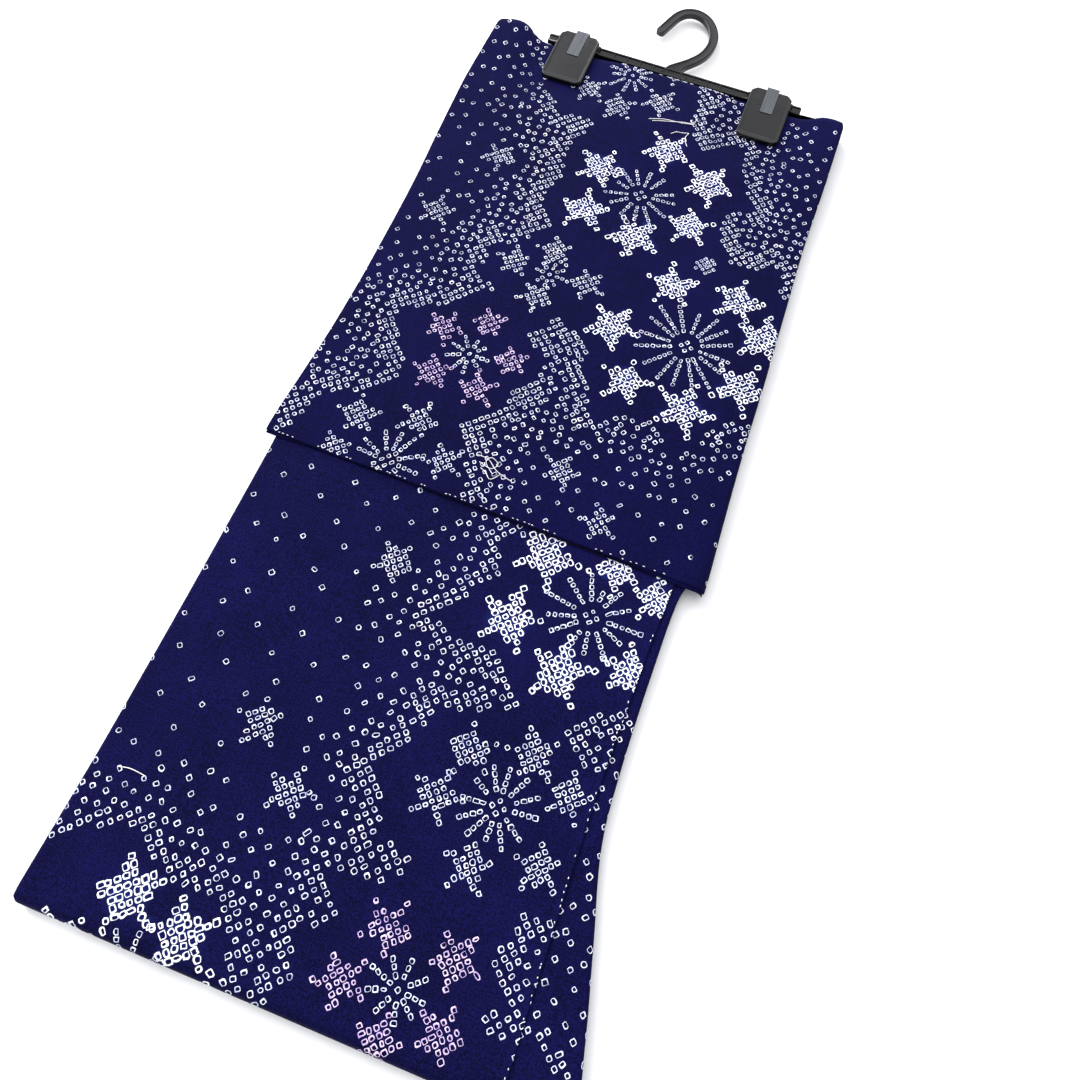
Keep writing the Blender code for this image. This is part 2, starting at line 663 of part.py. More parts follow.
def main():
    """Build the robe and its hanger."""
    clear_scene()
    make_sleeve(material("navy_cotton_sleeve", (0.010, 0.009, 0.075), 0.85))
    make_back_panel(material("navy_cotton_back", (0.009, 0.008, 0.068), 0.85))
    make_front_strip(material("navy_cotton_front", (0.010, 0.009, 0.072), 0.85))
    make_hidden_layers(material("navy_cotton_layers", (0.007, 0.006, 0.055), 0.9))
    make_bar(material("black_plastic_bar", (0.012, 0.012, 0.013), 0.35))
    make_hook(material("black_plastic_hook", (0.012, 0.012, 0.013), 0.3))
    for side, centre in CLIP_CENTRES.items():
        make_jaw("clip_front_" + side, centre, FRONT_JAW_LOW, True,
                 material("black_plastic_front_jaw_" + side, (0.015, 0.015, 0.016), 0.3))
        make_jaw("clip_back_" + side, centre, 0.0, False,
                 material("black_plastic_back_jaw_" + side, (0.015, 0.015, 0.016), 0.3))
        make_spring("clip_spring_" + side, centre,
                    material("spring_steel_" + side, (0.35, 0.35, 0.36), 0.35, 1.0))


main()
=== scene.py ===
"""Looks of a folded cotton yukata that a plastic clip hanger holds by its shoulder end.

The robe is a long flat packet. Its left sleeve is laid back on top; the back panel shows below the
sleeve, turns round the half-length fold and comes back underneath, and the edge of the front panel
shows beside the side seam. The cloth is indigo-dyed cotton with tie-dyed rings, which are laid out
here by rule: rings stand on a lattice that runs on the bias, fill five-pointed stars, run out in
rays from the middle of each ring of stars, and thin out away from the plain ground round them.

Sizes are in metres unless a comment says otherwise. Across is X, up is Z, and run is the way down
the packet from the shoulder fold. On a piece of cloth, s is the place across it and t the place
along it, which equals the run where the cloth lies level.
"""

import logging
import math
from abc import ABC, abstractmethod
from collections.abc import Callable, Sequence
from dataclasses import dataclass
from enum import Enum
from functools import partial
from typing import NamedTuple

import bpy
import numpy as np
from mathutils import Matrix, Vector


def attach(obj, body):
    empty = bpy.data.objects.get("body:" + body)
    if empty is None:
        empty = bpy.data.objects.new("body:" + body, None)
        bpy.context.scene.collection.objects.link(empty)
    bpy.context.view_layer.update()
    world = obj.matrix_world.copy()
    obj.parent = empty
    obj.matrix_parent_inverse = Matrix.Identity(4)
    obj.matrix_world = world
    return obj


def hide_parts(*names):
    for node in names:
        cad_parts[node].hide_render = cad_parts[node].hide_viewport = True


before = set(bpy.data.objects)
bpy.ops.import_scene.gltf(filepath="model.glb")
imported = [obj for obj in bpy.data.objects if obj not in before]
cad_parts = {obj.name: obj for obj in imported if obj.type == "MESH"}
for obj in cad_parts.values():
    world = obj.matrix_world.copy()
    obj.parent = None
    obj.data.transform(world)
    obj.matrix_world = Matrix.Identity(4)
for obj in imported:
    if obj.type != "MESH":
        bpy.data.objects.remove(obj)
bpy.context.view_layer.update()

log = logging.getLogger("yukata")

Array = np.ndarray
Arrays = tuple[Array, Array]
Pair = tuple[float, float]
Triple = tuple[float, float, float]
Faces = list[list[int]]
Piece = bpy.types.Object
Socket = bpy.types.NodeSocket
AddNode = Callable[..., Socket]
Feeds = dict[str, float | Socket]  # sockets' plain levels, or what feeds them
BODY = "root"
MM = 0.001
MIX_FACTOR, MIX_A, MIX_B, MIX_OUT = 0, 6, 7, 2  # sockets of a Mix node that mixes colours
WAVE_RADIANS = 20.0  # a wave texture of scale 1 turns by this much over one metre
DYE_CREEP = "dye_creep"  # point attribute: how much dye crept between rings there


# Colours and nodes
def linear(hex_colour: str) -> tuple[float, float, float, float]:
    """Turn an sRGB hex colour to linear light.

    Args:
        hex_colour: six hex digits after a hash sign.

    Returns:
        Linear red, green and blue, and an alpha of 1.
    """
    channels = [int(hex_colour[at:at + 2], 16) / 255 for at in (1, 3, 5)]
    lit = [c / 12.92 if c <= 0.04045 else ((c + 0.055) / 1.055) ** 2.4 for c in channels]
    return lit[0], lit[1], lit[2], 1.0


def add_node(tree: bpy.types.NodeTree, kind: str, values: dict | None = None,
             links: dict | None = None, out: int | str = 0, **settings: object) -> Socket:
    """Add a node to a tree.

    Args:
        tree: the node tree.
        kind: the node's type name, after "ShaderNode".
        values: input name or number to its value.
        links: input name or number to the output that feeds it.
        out: name or number of the output that is wanted.
        settings: the node's own properties.

    Returns:
        The wanted output of the new node.
    """
    node = tree.nodes.new("ShaderNode" + kind)
    for name, value in settings.items():
        setattr(node, name, value)
    for name, value in (values or {}).items():
        node.inputs[name].default_value = value
    for name, source in (links or {}).items():
        tree.links.new(source, node.inputs[name])
    return node.outputs[out]


def wave_scale(period: float) -> float:
    """Scale of a wave texture whose bands repeat at a period in metres."""
    return 2 * math.pi / (WAVE_RADIANS * period)


class Finish(ABC):
    """A finish that makes its material once and then hands out the same one."""

    name: str

    @abstractmethod
    def shade(self, add: AddNode, place: Socket) -> Feeds:
        """Add the finish's nodes.

        Args:
            add: adds a node to the material, as add_node does.
            place: each point's place on the packet.

        Returns:
            Levels and feeds of the shader's sockets.
        """

    def material(self) -> bpy.types.Material:
        """Give the finish's material.

        Returns:
            The material, which is made at the first call.
        """
        known = bpy.data.materials.get(self.name)
        if known is not None:
            return known
        made = bpy.data.materials.new(self.name)
        made.use_nodes = True
        tree = made.node_tree
        sockets = tree.nodes["Principled BSDF"].inputs
        add = partial(add_node, tree)
        for name, feed in self.shade(add, add("TexCoord", out="Object")).items():
            if isinstance(feed, float):
                sockets[name].default_value = feed
            else:
                tree.links.new(feed, sockets[name])
        return made


@dataclass(frozen=True)
class IndigoCotton(Finish):
    """Plain-woven cotton, piece-dyed deep navy after tying: matt, with a faint grain of slubs.

    The eye sees an almost even blue-black with fine crossing threads, a little paler where yarns
    are thick, and a clear blue between close rings, where dye crept under the binding thread.
    """

    name: str
    ground: str = "#050520"  # dye taken up fully
    worn: str = "#121148"  # thick yarns and the nap that rubs pale
    crept: str = "#263d94"  # half-dyed cotton between close rings
    thread_pitch: float = 0.9 * MM  # real threads lie 0.45 mm apart; drawn coarser, to show
    slub_length: float = 14 * MM
    slub_width: float = 0.9 * MM
    nap: float = 1.1 * MM  # tufts of worn fibre
    cloud: float = 60 * MM  # slow unevenness of the dye
    creep_patch: float = 3.2 * MM
    relief: float = 0.2 * MM  # of the threads and the nap
    slub_share: float = 0.3  # how much slubs and cloud show against the nap
    cloud_share: float = 0.2
    even: float = 0.56  # sum of the three at which the cloth is fully dyed,
    rubbed: float = 0.80  # and at which it is palest
    roughness: float = 0.92
    ior: float = 1.53  # cotton fibre

    def shade(self, add: AddNode, place: Socket) -> Feeds:
        """Weave, slubs, nap, uneven dye and crept dye.

        Args:
            add: adds a node to the material, as add_node does.
            place: each point's place on the packet.

        Returns:
            Levels and feeds of the shader's sockets.
        """
        bands = [add("TexWave", {"Scale": wave_scale(self.thread_pitch), "Distortion": 0.6, "Detail": 1.0,
                                 "Detail Scale": 3.0},
                     {"Vector": place}, "Fac", bands_direction=way) for way in "XY"]
        weave = add("Math", links=dict(enumerate(bands)), operation="MULTIPLY")
        slubs = []
        for along, across in ((self.slub_length, self.slub_width), (self.slub_width, self.slub_length)):
            stretched = add("VectorMath", {1: (1 / across, 1 / along, 300.0)},
                            {0: place}, operation="MULTIPLY")
            slubs.append(add("TexNoise", {"Scale": 1.0, "Detail": 2.0}, {"Vector": stretched}))
        yarn = add("Math", links=dict(enumerate(slubs)), operation="MULTIPLY")
        cloudy = add("TexNoise", {"Scale": 1 / self.cloud, "Detail": 3.0}, {"Vector": place})
        nap = add("TexNoise", {"Scale": 1 / self.nap, "Detail": 3.0, "Roughness": 0.7}, {"Vector": place})
        grain = add("Math", {1: self.slub_share}, {0: yarn, 2: nap}, operation="MULTIPLY_ADD")
        uneven = add("Math", {1: self.cloud_share}, {0: cloudy, 2: grain}, operation="MULTIPLY_ADD")
        lively = add("MapRange", {"From Min": self.even, "From Max": self.rubbed}, {"Value": uneven})
        dyed = add("Mix", {MIX_A: linear(self.ground), MIX_B: linear(self.worn)},
                   {MIX_FACTOR: lively}, MIX_OUT, data_type="RGBA")
        wicking = add("Attribute", out="Fac", attribute_name=DYE_CREEP)
        patchy = add("TexNoise", {"Scale": 1 / self.creep_patch, "Detail": 2.0}, {"Vector": place})
        crept = add("Math", links={0: wicking, 1: patchy}, operation="MULTIPLY", use_clamp=True)
        colour = add("Mix", {MIX_B: linear(self.crept)},
                     {MIX_FACTOR: crept, MIX_A: dyed}, MIX_OUT, data_type="RGBA")
        relief = add("Math", {1: 1.2}, {0: nap, 2: weave}, operation="MULTIPLY_ADD")
        bump = add("Bump", {"Strength": 0.5, "Distance": self.relief}, {"Height": relief})
        return {"Base Color": colour, "Normal": bump, "Roughness": self.roughness,
                "IOR": self.ior, "Specular IOR Level": 0.05, "Sheen Weight": 0.010,
                "Sheen Roughness": 0.4}


@dataclass(frozen=True)
class BoundCotton(Finish):
    """Cotton that a binding thread kept from the dye: chalky, bluish where dye got in.

    The eye sees a soft white line whose brightness wanders from ring to ring and round each ring.
    """

    name: str
    clear: str
    stained: str
    stain: float  # how much of the line is stained
    patch: float = 2.6 * MM  # stains within a ring,
    spread: float = 9 * MM  # and stains over a few rings
    roughness: float = 0.95
    ior: float = 1.53  # cotton fibre

    def shade(self, add: AddNode, place: Socket) -> Feeds:
        """The stained white.

        Args:
            add: adds a node to the material, as add_node does.
            place: each point's place on the packet.

        Returns:
            Levels and feeds of the shader's sockets.
        """
        near = add("TexNoise", {"Scale": 1 / self.patch, "Detail": 2.0}, {"Vector": place})
        far = add("TexNoise", {"Scale": 1 / self.spread, "Detail": 1.0}, {"Vector": place})
        both = add("Math", links={0: near, 1: far}, operation="ADD")
        amount = add("MapRange", {"From Min": 0.75, "From Max": 1.3, "To Max": 2 * self.stain},
                     {"Value": both})
        colour = add("Mix", {MIX_A: linear(self.clear), MIX_B: linear(self.stained)},
                     {MIX_FACTOR: amount}, MIX_OUT, data_type="RGBA")
        bump = add("Bump", {"Strength": 0.3, "Distance": 0.1 * MM}, {"Height": near})
        return {"Base Color": colour, "Normal": bump, "Roughness": self.roughness,
                "IOR": self.ior, "Specular IOR Level": 0.15}


@dataclass(frozen=True)
class TwistedThread(Finish):
    """Undyed cotton sewing thread of two plies: matt, with the slant of its twist."""

    name: str = "undyed_tacking_thread"
    colour: str = "#fbfaf6"
    shadow: str = "#d9d6d8"  # between the plies
    twist: float = 0.8 * MM
    roughness: float = 0.85

    def shade(self, add: AddNode, place: Socket) -> Feeds:
        """The twist.

        Args:
            add: adds a node to the material, as add_node does.
            place: each point's place on the packet.

        Returns:
            Levels and feeds of the shader's sockets.
        """
        plies = add("TexWave", {"Scale": wave_scale(self.twist)}, {"Vector": place},
                    "Fac", bands_direction="DIAGONAL")
        colour = add("Mix", {MIX_A: linear(self.shadow), MIX_B: linear(self.colour)},
                     {MIX_FACTOR: plies}, MIX_OUT, data_type="RGBA")
        return {"Base Color": colour, "Roughness": self.roughness, "Specular IOR Level": 0.2}


@dataclass(frozen=True)
class MouldedPolystyrene(Finish):
    """Black polystyrene from a polished mould: deep and glossy, with faint flow marks.

    The eye sees long clean highlights along rounded rims, slightly broken by handling scuffs.
    """

    name: str
    colour: str = "#08080a"
    scuffed: str = "#151518"
    roughness: float = 0.16
    dulled: float = 0.30  # roughness where it is worn
    flow: float = 22 * MM  # length of the flow marks
    scuff: float = 1.4 * MM
    ior: float = 1.59  # polystyrene

    def shade(self, add: AddNode, place: Socket) -> Feeds:
        """The gloss and its wear.

        Args:
            add: adds a node to the material, as add_node does.
            place: each point's place on the packet.

        Returns:
            Levels and feeds of the shader's sockets.
        """
        flow = add("TexNoise", {"Scale": 1 / self.flow, "Detail": 3.0,
                                "Distortion": 0.8}, {"Vector": place})
        scuff = add("TexNoise", {"Scale": 1 / self.scuff, "Detail": 4.0}, {"Vector": place})
        worn = add("MapRange", {"From Min": 0.56, "From Max": 0.72}, {"Value": scuff})
        colour = add("Mix", {MIX_A: linear(self.colour), MIX_B: linear(self.scuffed)},
                     {MIX_FACTOR: worn}, MIX_OUT, data_type="RGBA")
        gloss = add("MapRange", {"From Min": 0.35, "From Max": 0.75, "To Min": self.roughness,
                                 "To Max": self.dulled}, {"Value": flow})
        bump = add("Bump", {"Strength": 0.08, "Distance": 0.3 * MM}, {"Height": flow})
        return {"Base Color": colour, "Roughness": gloss, "Normal": bump, "IOR": self.ior,
                "Specular IOR Level": 0.27}


@dataclass(frozen=True)
class BluedSpringSteel(Finish):
    """Rolled spring steel, blackened by oil: dark metal with fine lines along the strip."""

    name: str = "blackened_spring_steel"
    colour: str = "#3c3d42"
    bared: str = "#7d7f86"
    line_pitch: float = 0.5 * MM  # rolling lines are finer; drawn coarser, to show
    line_length: float = 30 * MM
    roughness: float = 0.38

    def shade(self, add: AddNode, place: Socket) -> Feeds:
        """The rolling lines.

        Args:
            add: adds a node to the material, as add_node does.
            place: each point's place on the packet.

        Returns:
            Levels and feeds of the shader's sockets.
        """
        scale = (1 / self.line_pitch, 1 / self.line_length, 1 / self.line_length)
        drawn = add("VectorMath", {1: scale}, {0: place}, operation="MULTIPLY")
        lines = add("TexNoise", {"Scale": 1.0, "Detail": 2.0}, {"Vector": drawn})
        colour = add("Mix", {MIX_A: linear(self.colour), MIX_B: linear(self.bared)},
                     {MIX_FACTOR: lines}, MIX_OUT, data_type="RGBA")
        bump = add("Bump", {"Strength": 0.1, "Distance": 0.05 * MM}, {"Height": lines})
        return {"Base Color": colour, "Normal": bump, "Metallic": 1.0, "Roughness": self.roughness}


@dataclass(frozen=True)
class PaleCard(Finish):
    """Matt white card, pressed: the studio's floor, almost even, with a faint tooth."""

    name: str = "matt_white_card"
    colour: str = "#f6f6f7"
    tooth: str = "#f1f1f2"
    tooth_size: float = 1 / 60
    roughness: float = 0.9

    def shade(self, add: AddNode, place: Socket) -> Feeds:
        """The card's tooth.

        Args:
            add: adds a node to the material, as add_node does.
            place: each point's place on the packet.

        Returns:
            Levels and feeds of the shader's sockets.
        """
        fibres = add("TexNoise", {"Scale": 1 / self.tooth_size, "Detail": 3.0}, {"Vector": place})
        colour = add("Mix", {MIX_A: linear(self.colour), MIX_B: linear(self.tooth)},
                     {MIX_FACTOR: fibres}, MIX_OUT, data_type="RGBA")
        return {"Base Color": colour, "Roughness": self.roughness, "Specular IOR Level": 0.1}


# The sleeve's copy has darker pale yarns than the panels'. It is a darker copy of the same cotton, which
# paints shade onto the sleeve.
SLEEVE_COTTON = IndigoCotton("indigo_cotton_sleeve_painted_shade", ground="#050520", worn="#0e0d42")
BACK_COTTON = IndigoCotton("indigo_cotton_back_panel")
FRONT_COTTON = IndigoCotton("indigo_cotton_front_panel")
# The folded-in plies' copy is darker in both tones. It is a darker copy of the same cotton, which paints
# shade onto the stack's edges.
LAYER_COTTON = IndigoCotton("indigo_cotton_folded_layers_painted_shade", ground="#04041b", worn="#0e0d3c")
HOOK_PLASTIC = MouldedPolystyrene("black_polystyrene_hook")
# The hook's channel takes a lighter, duller black. The lighter colour is a painted highlight, a painted
# reflection of the lamps along the channel.
PAINTED_HIGHLIGHT_CHANNEL_PLASTIC = MouldedPolystyrene("black_polystyrene_channel_painted_highlight", colour="#1c1c20",
                                     scuffed="#34343a", roughness=0.42, dulled=0.60)
BAR_PLASTIC = MouldedPolystyrene("black_polystyrene_bar", roughness=0.22)
CLIP_PLASTIC = MouldedPolystyrene("black_polystyrene_clip", roughness=0.3, dulled=0.42,
                                  scuffed="#17171b")


# How the packet lies
class SleeveRow(NamedTuple):
    """Edges of the sleeve at a run, and the radius of its rolled right-hand edge."""

    run: float
    left: float
    right: float
    roll: float


class BodyRow(NamedTuple):
    """Edges, side seam and thickness of the folded body at a run."""

    run: float
    left: float
    seam: float
    right: float
    height: float


def smooth(value: Array | float, low: float, high: float) -> Array:
    """0 at low, 1 at high, level at both ends."""
    share = np.clip((np.asarray(value, float) - low) / (high - low), 0.0, 1.0)
    return share * share * (3.0 - 2.0 * share)


def round_off(past: Array, radius: float) -> Array:
    """How far a rounded corner draws an edge in.

    Args:
        past: how far past the start of the rounding.
        radius: the corner's radius.

    Returns:
        The distance from the sharp corner's edge: 0 before the rounding.
    """
    short = np.clip(past, 0.0, radius)
    return radius - np.sqrt(radius ** 2 - short ** 2)


def cubic(share: Array, values: Arrays, slopes: Arrays, width: Array | float = 1.0) -> Array:
    """A smooth way from one value to the next.

    Args:
        share: how far along, from 0 to 1.
        values: the two values.
        slopes: the slopes at them.
        width: the distance between them that the slopes count in.

    Returns:
        The value at each share.
    """
    square, cube = share ** 2, share ** 3
    return ((2 * cube - 3 * square + 1) * values[0] + (cube - 2 * square + share) * slopes[0] * width
            + (3 * square - 2 * cube) * values[1] + (cube - square) * slopes[1] * width)


def curve(rows: Sequence[NamedTuple], column: str, run: Array) -> Array:
    """Read a smooth curve through the rows of a table, level at its first and last row.

    Args:
        rows: the table, by run.
        column: name of the column that the curve follows.
        run: places; beyond the table, its nearest row holds.

    Returns:
        The column's value at each place.
    """
    knots = np.array([row[0] for row in rows])
    values = np.array([getattr(row, column) for row in rows])
    slopes = np.zeros(len(rows))
    slopes[1:-1] = (values[2:] - values[:-2]) / (knots[2:] - knots[:-2])
    run = np.clip(run, knots[0], knots[-1])
    after = np.clip(np.searchsorted(knots, run, side="right"), 1, len(knots) - 1)
    before = after - 1
    width = knots[after] - knots[before]
    return cubic((run - knots[before]) / width, (values[before], values[after]),
                 (slopes[before], slopes[after]), width)


@dataclass(frozen=True)
class Crease:
    """A soft ridge or groove in the cloth, along a line between two places on it."""

    across: float
    run: float
    across_end: float
    run_end: float
    width: float
    rise: float
    fade: float = 0.28  # share of its length over which each end fades

    def height(self, across: Array, run: Array) -> Array:
        """Rise of the cloth at each place, which fades towards the crease's ends.

        Args:
            across, run: places on the cloth.

        Returns:
            The rise at each place.
        """
        start = np.array([self.across, self.run])
        way = np.array([self.across_end, self.run_end]) - start
        length = math.hypot(*way)
        way = way / length
        along = (across - start[0]) * way[0] + (run - start[1]) * way[1]
        aside = (across - start[0]) * way[1] - (run - start[1]) * way[0]
        fade = self.fade * length
        taper = smooth(along, -fade, fade) * (1.0 - smooth(along, length - fade, length + fade))
        return self.rise * taper * np.exp(-(aside / self.width) ** 2)


@dataclass(frozen=True)
class Waves:
    """Slow waves of pressed cloth: swells in a chequer, with slanting ones over them."""

    height: float
    across: Pair  # radians a metre across, and where the swells start,
    run: Pair  # and the same down the packet
    slant: Triple  # radians a metre across and down, and the start
    slant_share: float = 0.6  # the slanting waves' height against the swells'

    def rise(self, across: Array, run: Array) -> Array:
        """Rise of the cloth, which is never below 0.

        Args:
            across, run: places on the cloth.

        Returns:
            The rise at each place.
        """
        swells = (np.sin(across * self.across[0] + self.across[1])
                  * np.sin(run * self.run[0] + self.run[1]))
        slanting = self.slant_share * np.sin(across * self.slant[0] + run * self.slant[1] + self.slant[2])
        return self.height * (swells + slanting + (1 + self.slant_share))


class ShoulderCorner(NamedTuple):
    """How the cloth swells at a corner of the shoulder end, beside a clip."""

    side: int  # -1 at the left, 1 at the right
    puff: float  # how much thicker the layers are
    puff_across: Pair  # distance from the middle at which that starts and is full
    puff_run: float  # run at which it has died away
    bulge: float  # how far the cloth reaches past the shoulder line
    bulge_across: Pair
    slump: float  # share of the bulge that the very side loses
    slump_across: Pair


@dataclass(frozen=True)
class Packet:
    """The folded robe's sizes, and how high its layers lie."""

    folded_length: float = 0.840  # from the shoulder fold to the half-length fold
    gap: float = 0.3 * MM  # between things that touch
    sleeve_wall: float = 2.4 * MM  # both plies of the sleeve
    panel_wall: float = 1.5 * MM
    strip_step: float = 0.5 * MM  # the front panel lies this much below the back panel
    shoulder_roll: float = 8.0 * MM  # radius over the shoulder end,
    panel_roll: float = 3.5 * MM  # and at the panels' side edges
    fold_height: float = 12.4 * MM  # at the half-length fold
    sleeve_drop: float = 0.488
    sleeve_skew: float = 0.0176  # slope of the sleeve's lower edge
    hem_run: float = 0.021  # of the panels' hem, underneath
    jaw_lift: float = 3.3 * MM  # the back jaws' thickness and the gap
    grip_thickness: float = 9.0 * MM  # of all the cloth between the jaws
    jaw_reach: float = 0.050
    grip_half_width: float = 0.022  # of the fully squeezed cloth,
    grip_trail: float = 0.003  # how far it goes on below a jaw,
    pinch_spread: float = 0.032  # how far beside it the cloth is full again,
    pinch_trail: float = 0.060  # and how far below
    lift_start: float = 0.070  # run at which the lifted end starts to sink,
    lift_end: float = 0.150  # and at which it rests
    slack_run: Pair = (0.05, 0.12)  # run over which the cloth comes free to crease
    hanger_x: float = 0.004
    clip_spread: float = 0.097  # from the hanger's middle to a clip's
    corner: float = 0.009  # radius of the packet's corners at the shoulder end
    puff_start: float = 8.0 * MM  # run up to which the corners are fully swollen
    bulge_run: float = 0.034  # run at which their bulge has died away
    shoulder_corners: tuple[ShoulderCorner, ...] = (
        ShoulderCorner(-1, 4.5 * MM, (0.120, 0.160), 0.080,
                       11.0 * MM, (0.127, 0.152), 0.55, (0.157, 0.177)),
        ShoulderCorner(1, 3.0 * MM, (0.142, 0.172), 0.065,
                       7.0 * MM, (0.137, 0.155), 0.40, (0.160, 0.177)),
    )
    sleeve_rows: tuple[SleeveRow, ...] = (
        SleeveRow(0.000, -0.1735, 0.1745, 0.0026),
        SleeveRow(0.075, -0.1760, 0.1745, 0.0026),
        SleeveRow(0.150, -0.1738, 0.1735, 0.0026),
        SleeveRow(0.225, -0.1702, 0.1748, 0.0030),
        SleeveRow(0.300, -0.1688, 0.1762, 0.0036),
        SleeveRow(0.370, -0.1690, 0.1768, 0.0046),
        SleeveRow(0.430, -0.1722, 0.1786, 0.0062),
        SleeveRow(0.488, -0.1758, 0.1806, 0.0080),
    )
    body_rows: tuple[BodyRow, ...] = (
        BodyRow(0.000, -0.1715, 0.1560, 0.1725, 0.0092),
        BodyRow(0.080, -0.1725, 0.1560, 0.1722, 0.0108),
        BodyRow(0.200, -0.1698, 0.1565, 0.1722, 0.0120),
        BodyRow(0.400, -0.1684, 0.1570, 0.1725, 0.0128),
        BodyRow(0.480, -0.1684, 0.1568, 0.1690, 0.0126),
        BodyRow(0.502, -0.1685, 0.1562, 0.1644, 0.0114),
        BodyRow(0.560, -0.1687, 0.1538, 0.1628, 0.0106),
        BodyRow(0.630, -0.1688, 0.1520, 0.1630, 0.0104),
        BodyRow(0.680, -0.1690, 0.1520, 0.1662, 0.0106),
        BodyRow(0.740, -0.1696, 0.1526, 0.1808, 0.0110),
        BodyRow(0.790, -0.1706, 0.1532, 0.1930, 0.0118),
        BodyRow(0.840, -0.1716, 0.1540, 0.2020, 0.0124),
    )
    sleeve_creases: tuple[Crease, ...] = (
        Crease(-0.150, 0.190, 0.060, 0.214, 0.0050, 0.45 * MM),
        Crease(0.020, 0.232, 0.165, 0.246, 0.0040, 0.35 * MM),
        Crease(-0.168, 0.352, -0.030, 0.340, 0.0060, 0.40 * MM),
        Crease(0.150, 0.300, 0.163, 0.470, 0.0050, 0.60 * MM),
        Crease(0.1720, 0.300, 0.1728, 0.486, 0.0017, -0.50 * MM),
        Crease(-0.120, 0.420, 0.050, 0.452, 0.0070, 0.50 * MM),
        Crease(0.070, 0.120, 0.120, 0.200, 0.0060, 0.35 * MM),
    )
    sleeve_waves: Waves = Waves(0.22 * MM, (31, 1.3), (17, 0.4), (12, -41, 2.0))
    body_waves: Waves = Waves(0.16 * MM, (27, 0.6), (21, 1.9), (14, 33, 0.0))
    body_creases: tuple[Crease, ...] = (
        Crease(-0.165, 0.762, 0.148, 0.765, 0.0022, 0.35 * MM),
        Crease(-0.100, 0.560, 0.060, 0.578, 0.0070, 0.45 * MM),
        Crease(0.020, 0.640, 0.140, 0.622, 0.0050, 0.40 * MM),
        Crease(-0.160, 0.690, -0.040, 0.672, 0.0060, 0.40 * MM),
        Crease(0.1640, 0.655, 0.1760, 0.735, 0.0030, 0.60 * MM),
    )

    @property
    def shoulder_y(self) -> float:
        """Y of the shoulder fold."""
        return self.folded_length / 2

    @property
    def fold_radius(self) -> float:
        """Outer radius of the half-length fold."""
        return self.fold_height / 2

    @property
    def fold_run(self) -> float:
        """Run at which the half-length fold starts to turn."""
        return self.folded_length - self.fold_radius

    @property
    def grip_body(self) -> float:
        """Thickness of the body where the clips squeeze it."""
        return self.grip_thickness - self.sleeve_wall - self.gap

    @property
    def clip_centres(self) -> Pair:
        """Middle of each clip, across the packet."""
        return self.hanger_x - self.clip_spread, self.hanger_x + self.clip_spread

    def lift(self, run: Array) -> Array:
        """Height of the underside, which the back jaws raise at the shoulder end."""
        return self.jaw_lift * (1.0 - smooth(run, self.lift_start, self.lift_end))

    def pinch(self, across: Array, run: Array) -> Array:
        """1 under a clip's jaws, falling to 0 beside and below them.

        Args:
            across, run: places on the packet.

        Returns:
            The share at each place.
        """
        near, far = self.grip_half_width, self.grip_half_width + self.pinch_spread
        beside = np.max([1.0 - smooth(np.abs(across - centre), near, far)
                         for centre in self.clip_centres], axis=0)
        below = 1.0 - smooth(run, self.jaw_reach + self.grip_trail, self.jaw_reach + self.pinch_trail)
        return beside * below

    def puff(self, across: Array, run: Array) -> Array:
        """How much the layers swell at the corners, beside the clips.

        Args:
            across, run: places on the packet.

        Returns:
            The extra height at each place.
        """
        return sum(corner.puff * smooth(corner.side * across, *corner.puff_across)
                   * (1 - smooth(run, self.puff_start, corner.puff_run))
                   for corner in self.shoulder_corners)

    def bulge(self, across: Array, run: Array) -> Array:
        """How far the swollen corners push the cloth past the shoulder line.

        Args:
            across, run: places on the packet.

        Returns:
            The distance at each place.
        """
        past = sum(corner.bulge * smooth(corner.side * across, *corner.bulge_across)
                   * (1 - corner.slump * smooth(corner.side * across, *corner.slump_across))
                   for corner in self.shoulder_corners)
        return past * (1 - smooth(run, 0.0, self.bulge_run))

    def rounding(self, run: Array) -> Array:
        """How far the corners at the shoulder end draw the side edges in."""
        return round_off(self.corner - run, self.corner)

    def body_top(self, across: Array, run: Array) -> Array:
        """Height of the body panels' outer face.

        Args:
            across, run: places on the packet.

        Returns:
            The height at each place.
        """
        free = curve(self.body_rows, "height", run)
        squeezed = self.pinch(across, run)
        return (self.lift(run) + free * (1.0 - squeezed) + self.grip_body * squeezed
                + self.puff(across, run))

    def slack(self, across: Array, run: Array) -> Array:
        """1 where the cloth is free to crease, and 0 where the clips hold it."""
        return (1.0 - self.pinch(across, run)) * smooth(run, *self.slack_run)


PACKET = Packet()


class Side(NamedTuple):
    """Where a piece's level part ends, and the radius at which it then turns down."""

    level: Array
    radius: Array


def turn_down(s: Array, depth: Array, left: Side | None,
              right: Side | None) -> tuple[Array, Array, Array]:
    """Bend a piece down at its side edges.

    Args:
        s: place along the cloth, across the packet.
        depth: how far under the cloth's outer face.
        left, right: the edges that turn, if any.

    Returns:
        The level place that each point belongs to, its X, and its depth under the outer face.
    """
    flat, across, sunk = s.copy(), s.copy(), depth.copy()
    for side, sign in ((left, -1.0), (right, 1.0)):
        if side is None:
            continue
        over = sign * (s - side.level)
        angle = np.clip(over / side.radius, 0.0, math.pi / 2)
        straight = np.maximum(over - side.radius * math.pi / 2, 0.0)
        turned = over > 0
        reach = side.radius - depth
        flat = np.where(turned, side.level, flat)
        across = np.where(turned, side.level + sign * reach * np.sin(angle), across)
        sunk = np.where(turned, side.radius - reach * np.cos(angle) + straight, sunk)
    return flat, across, sunk


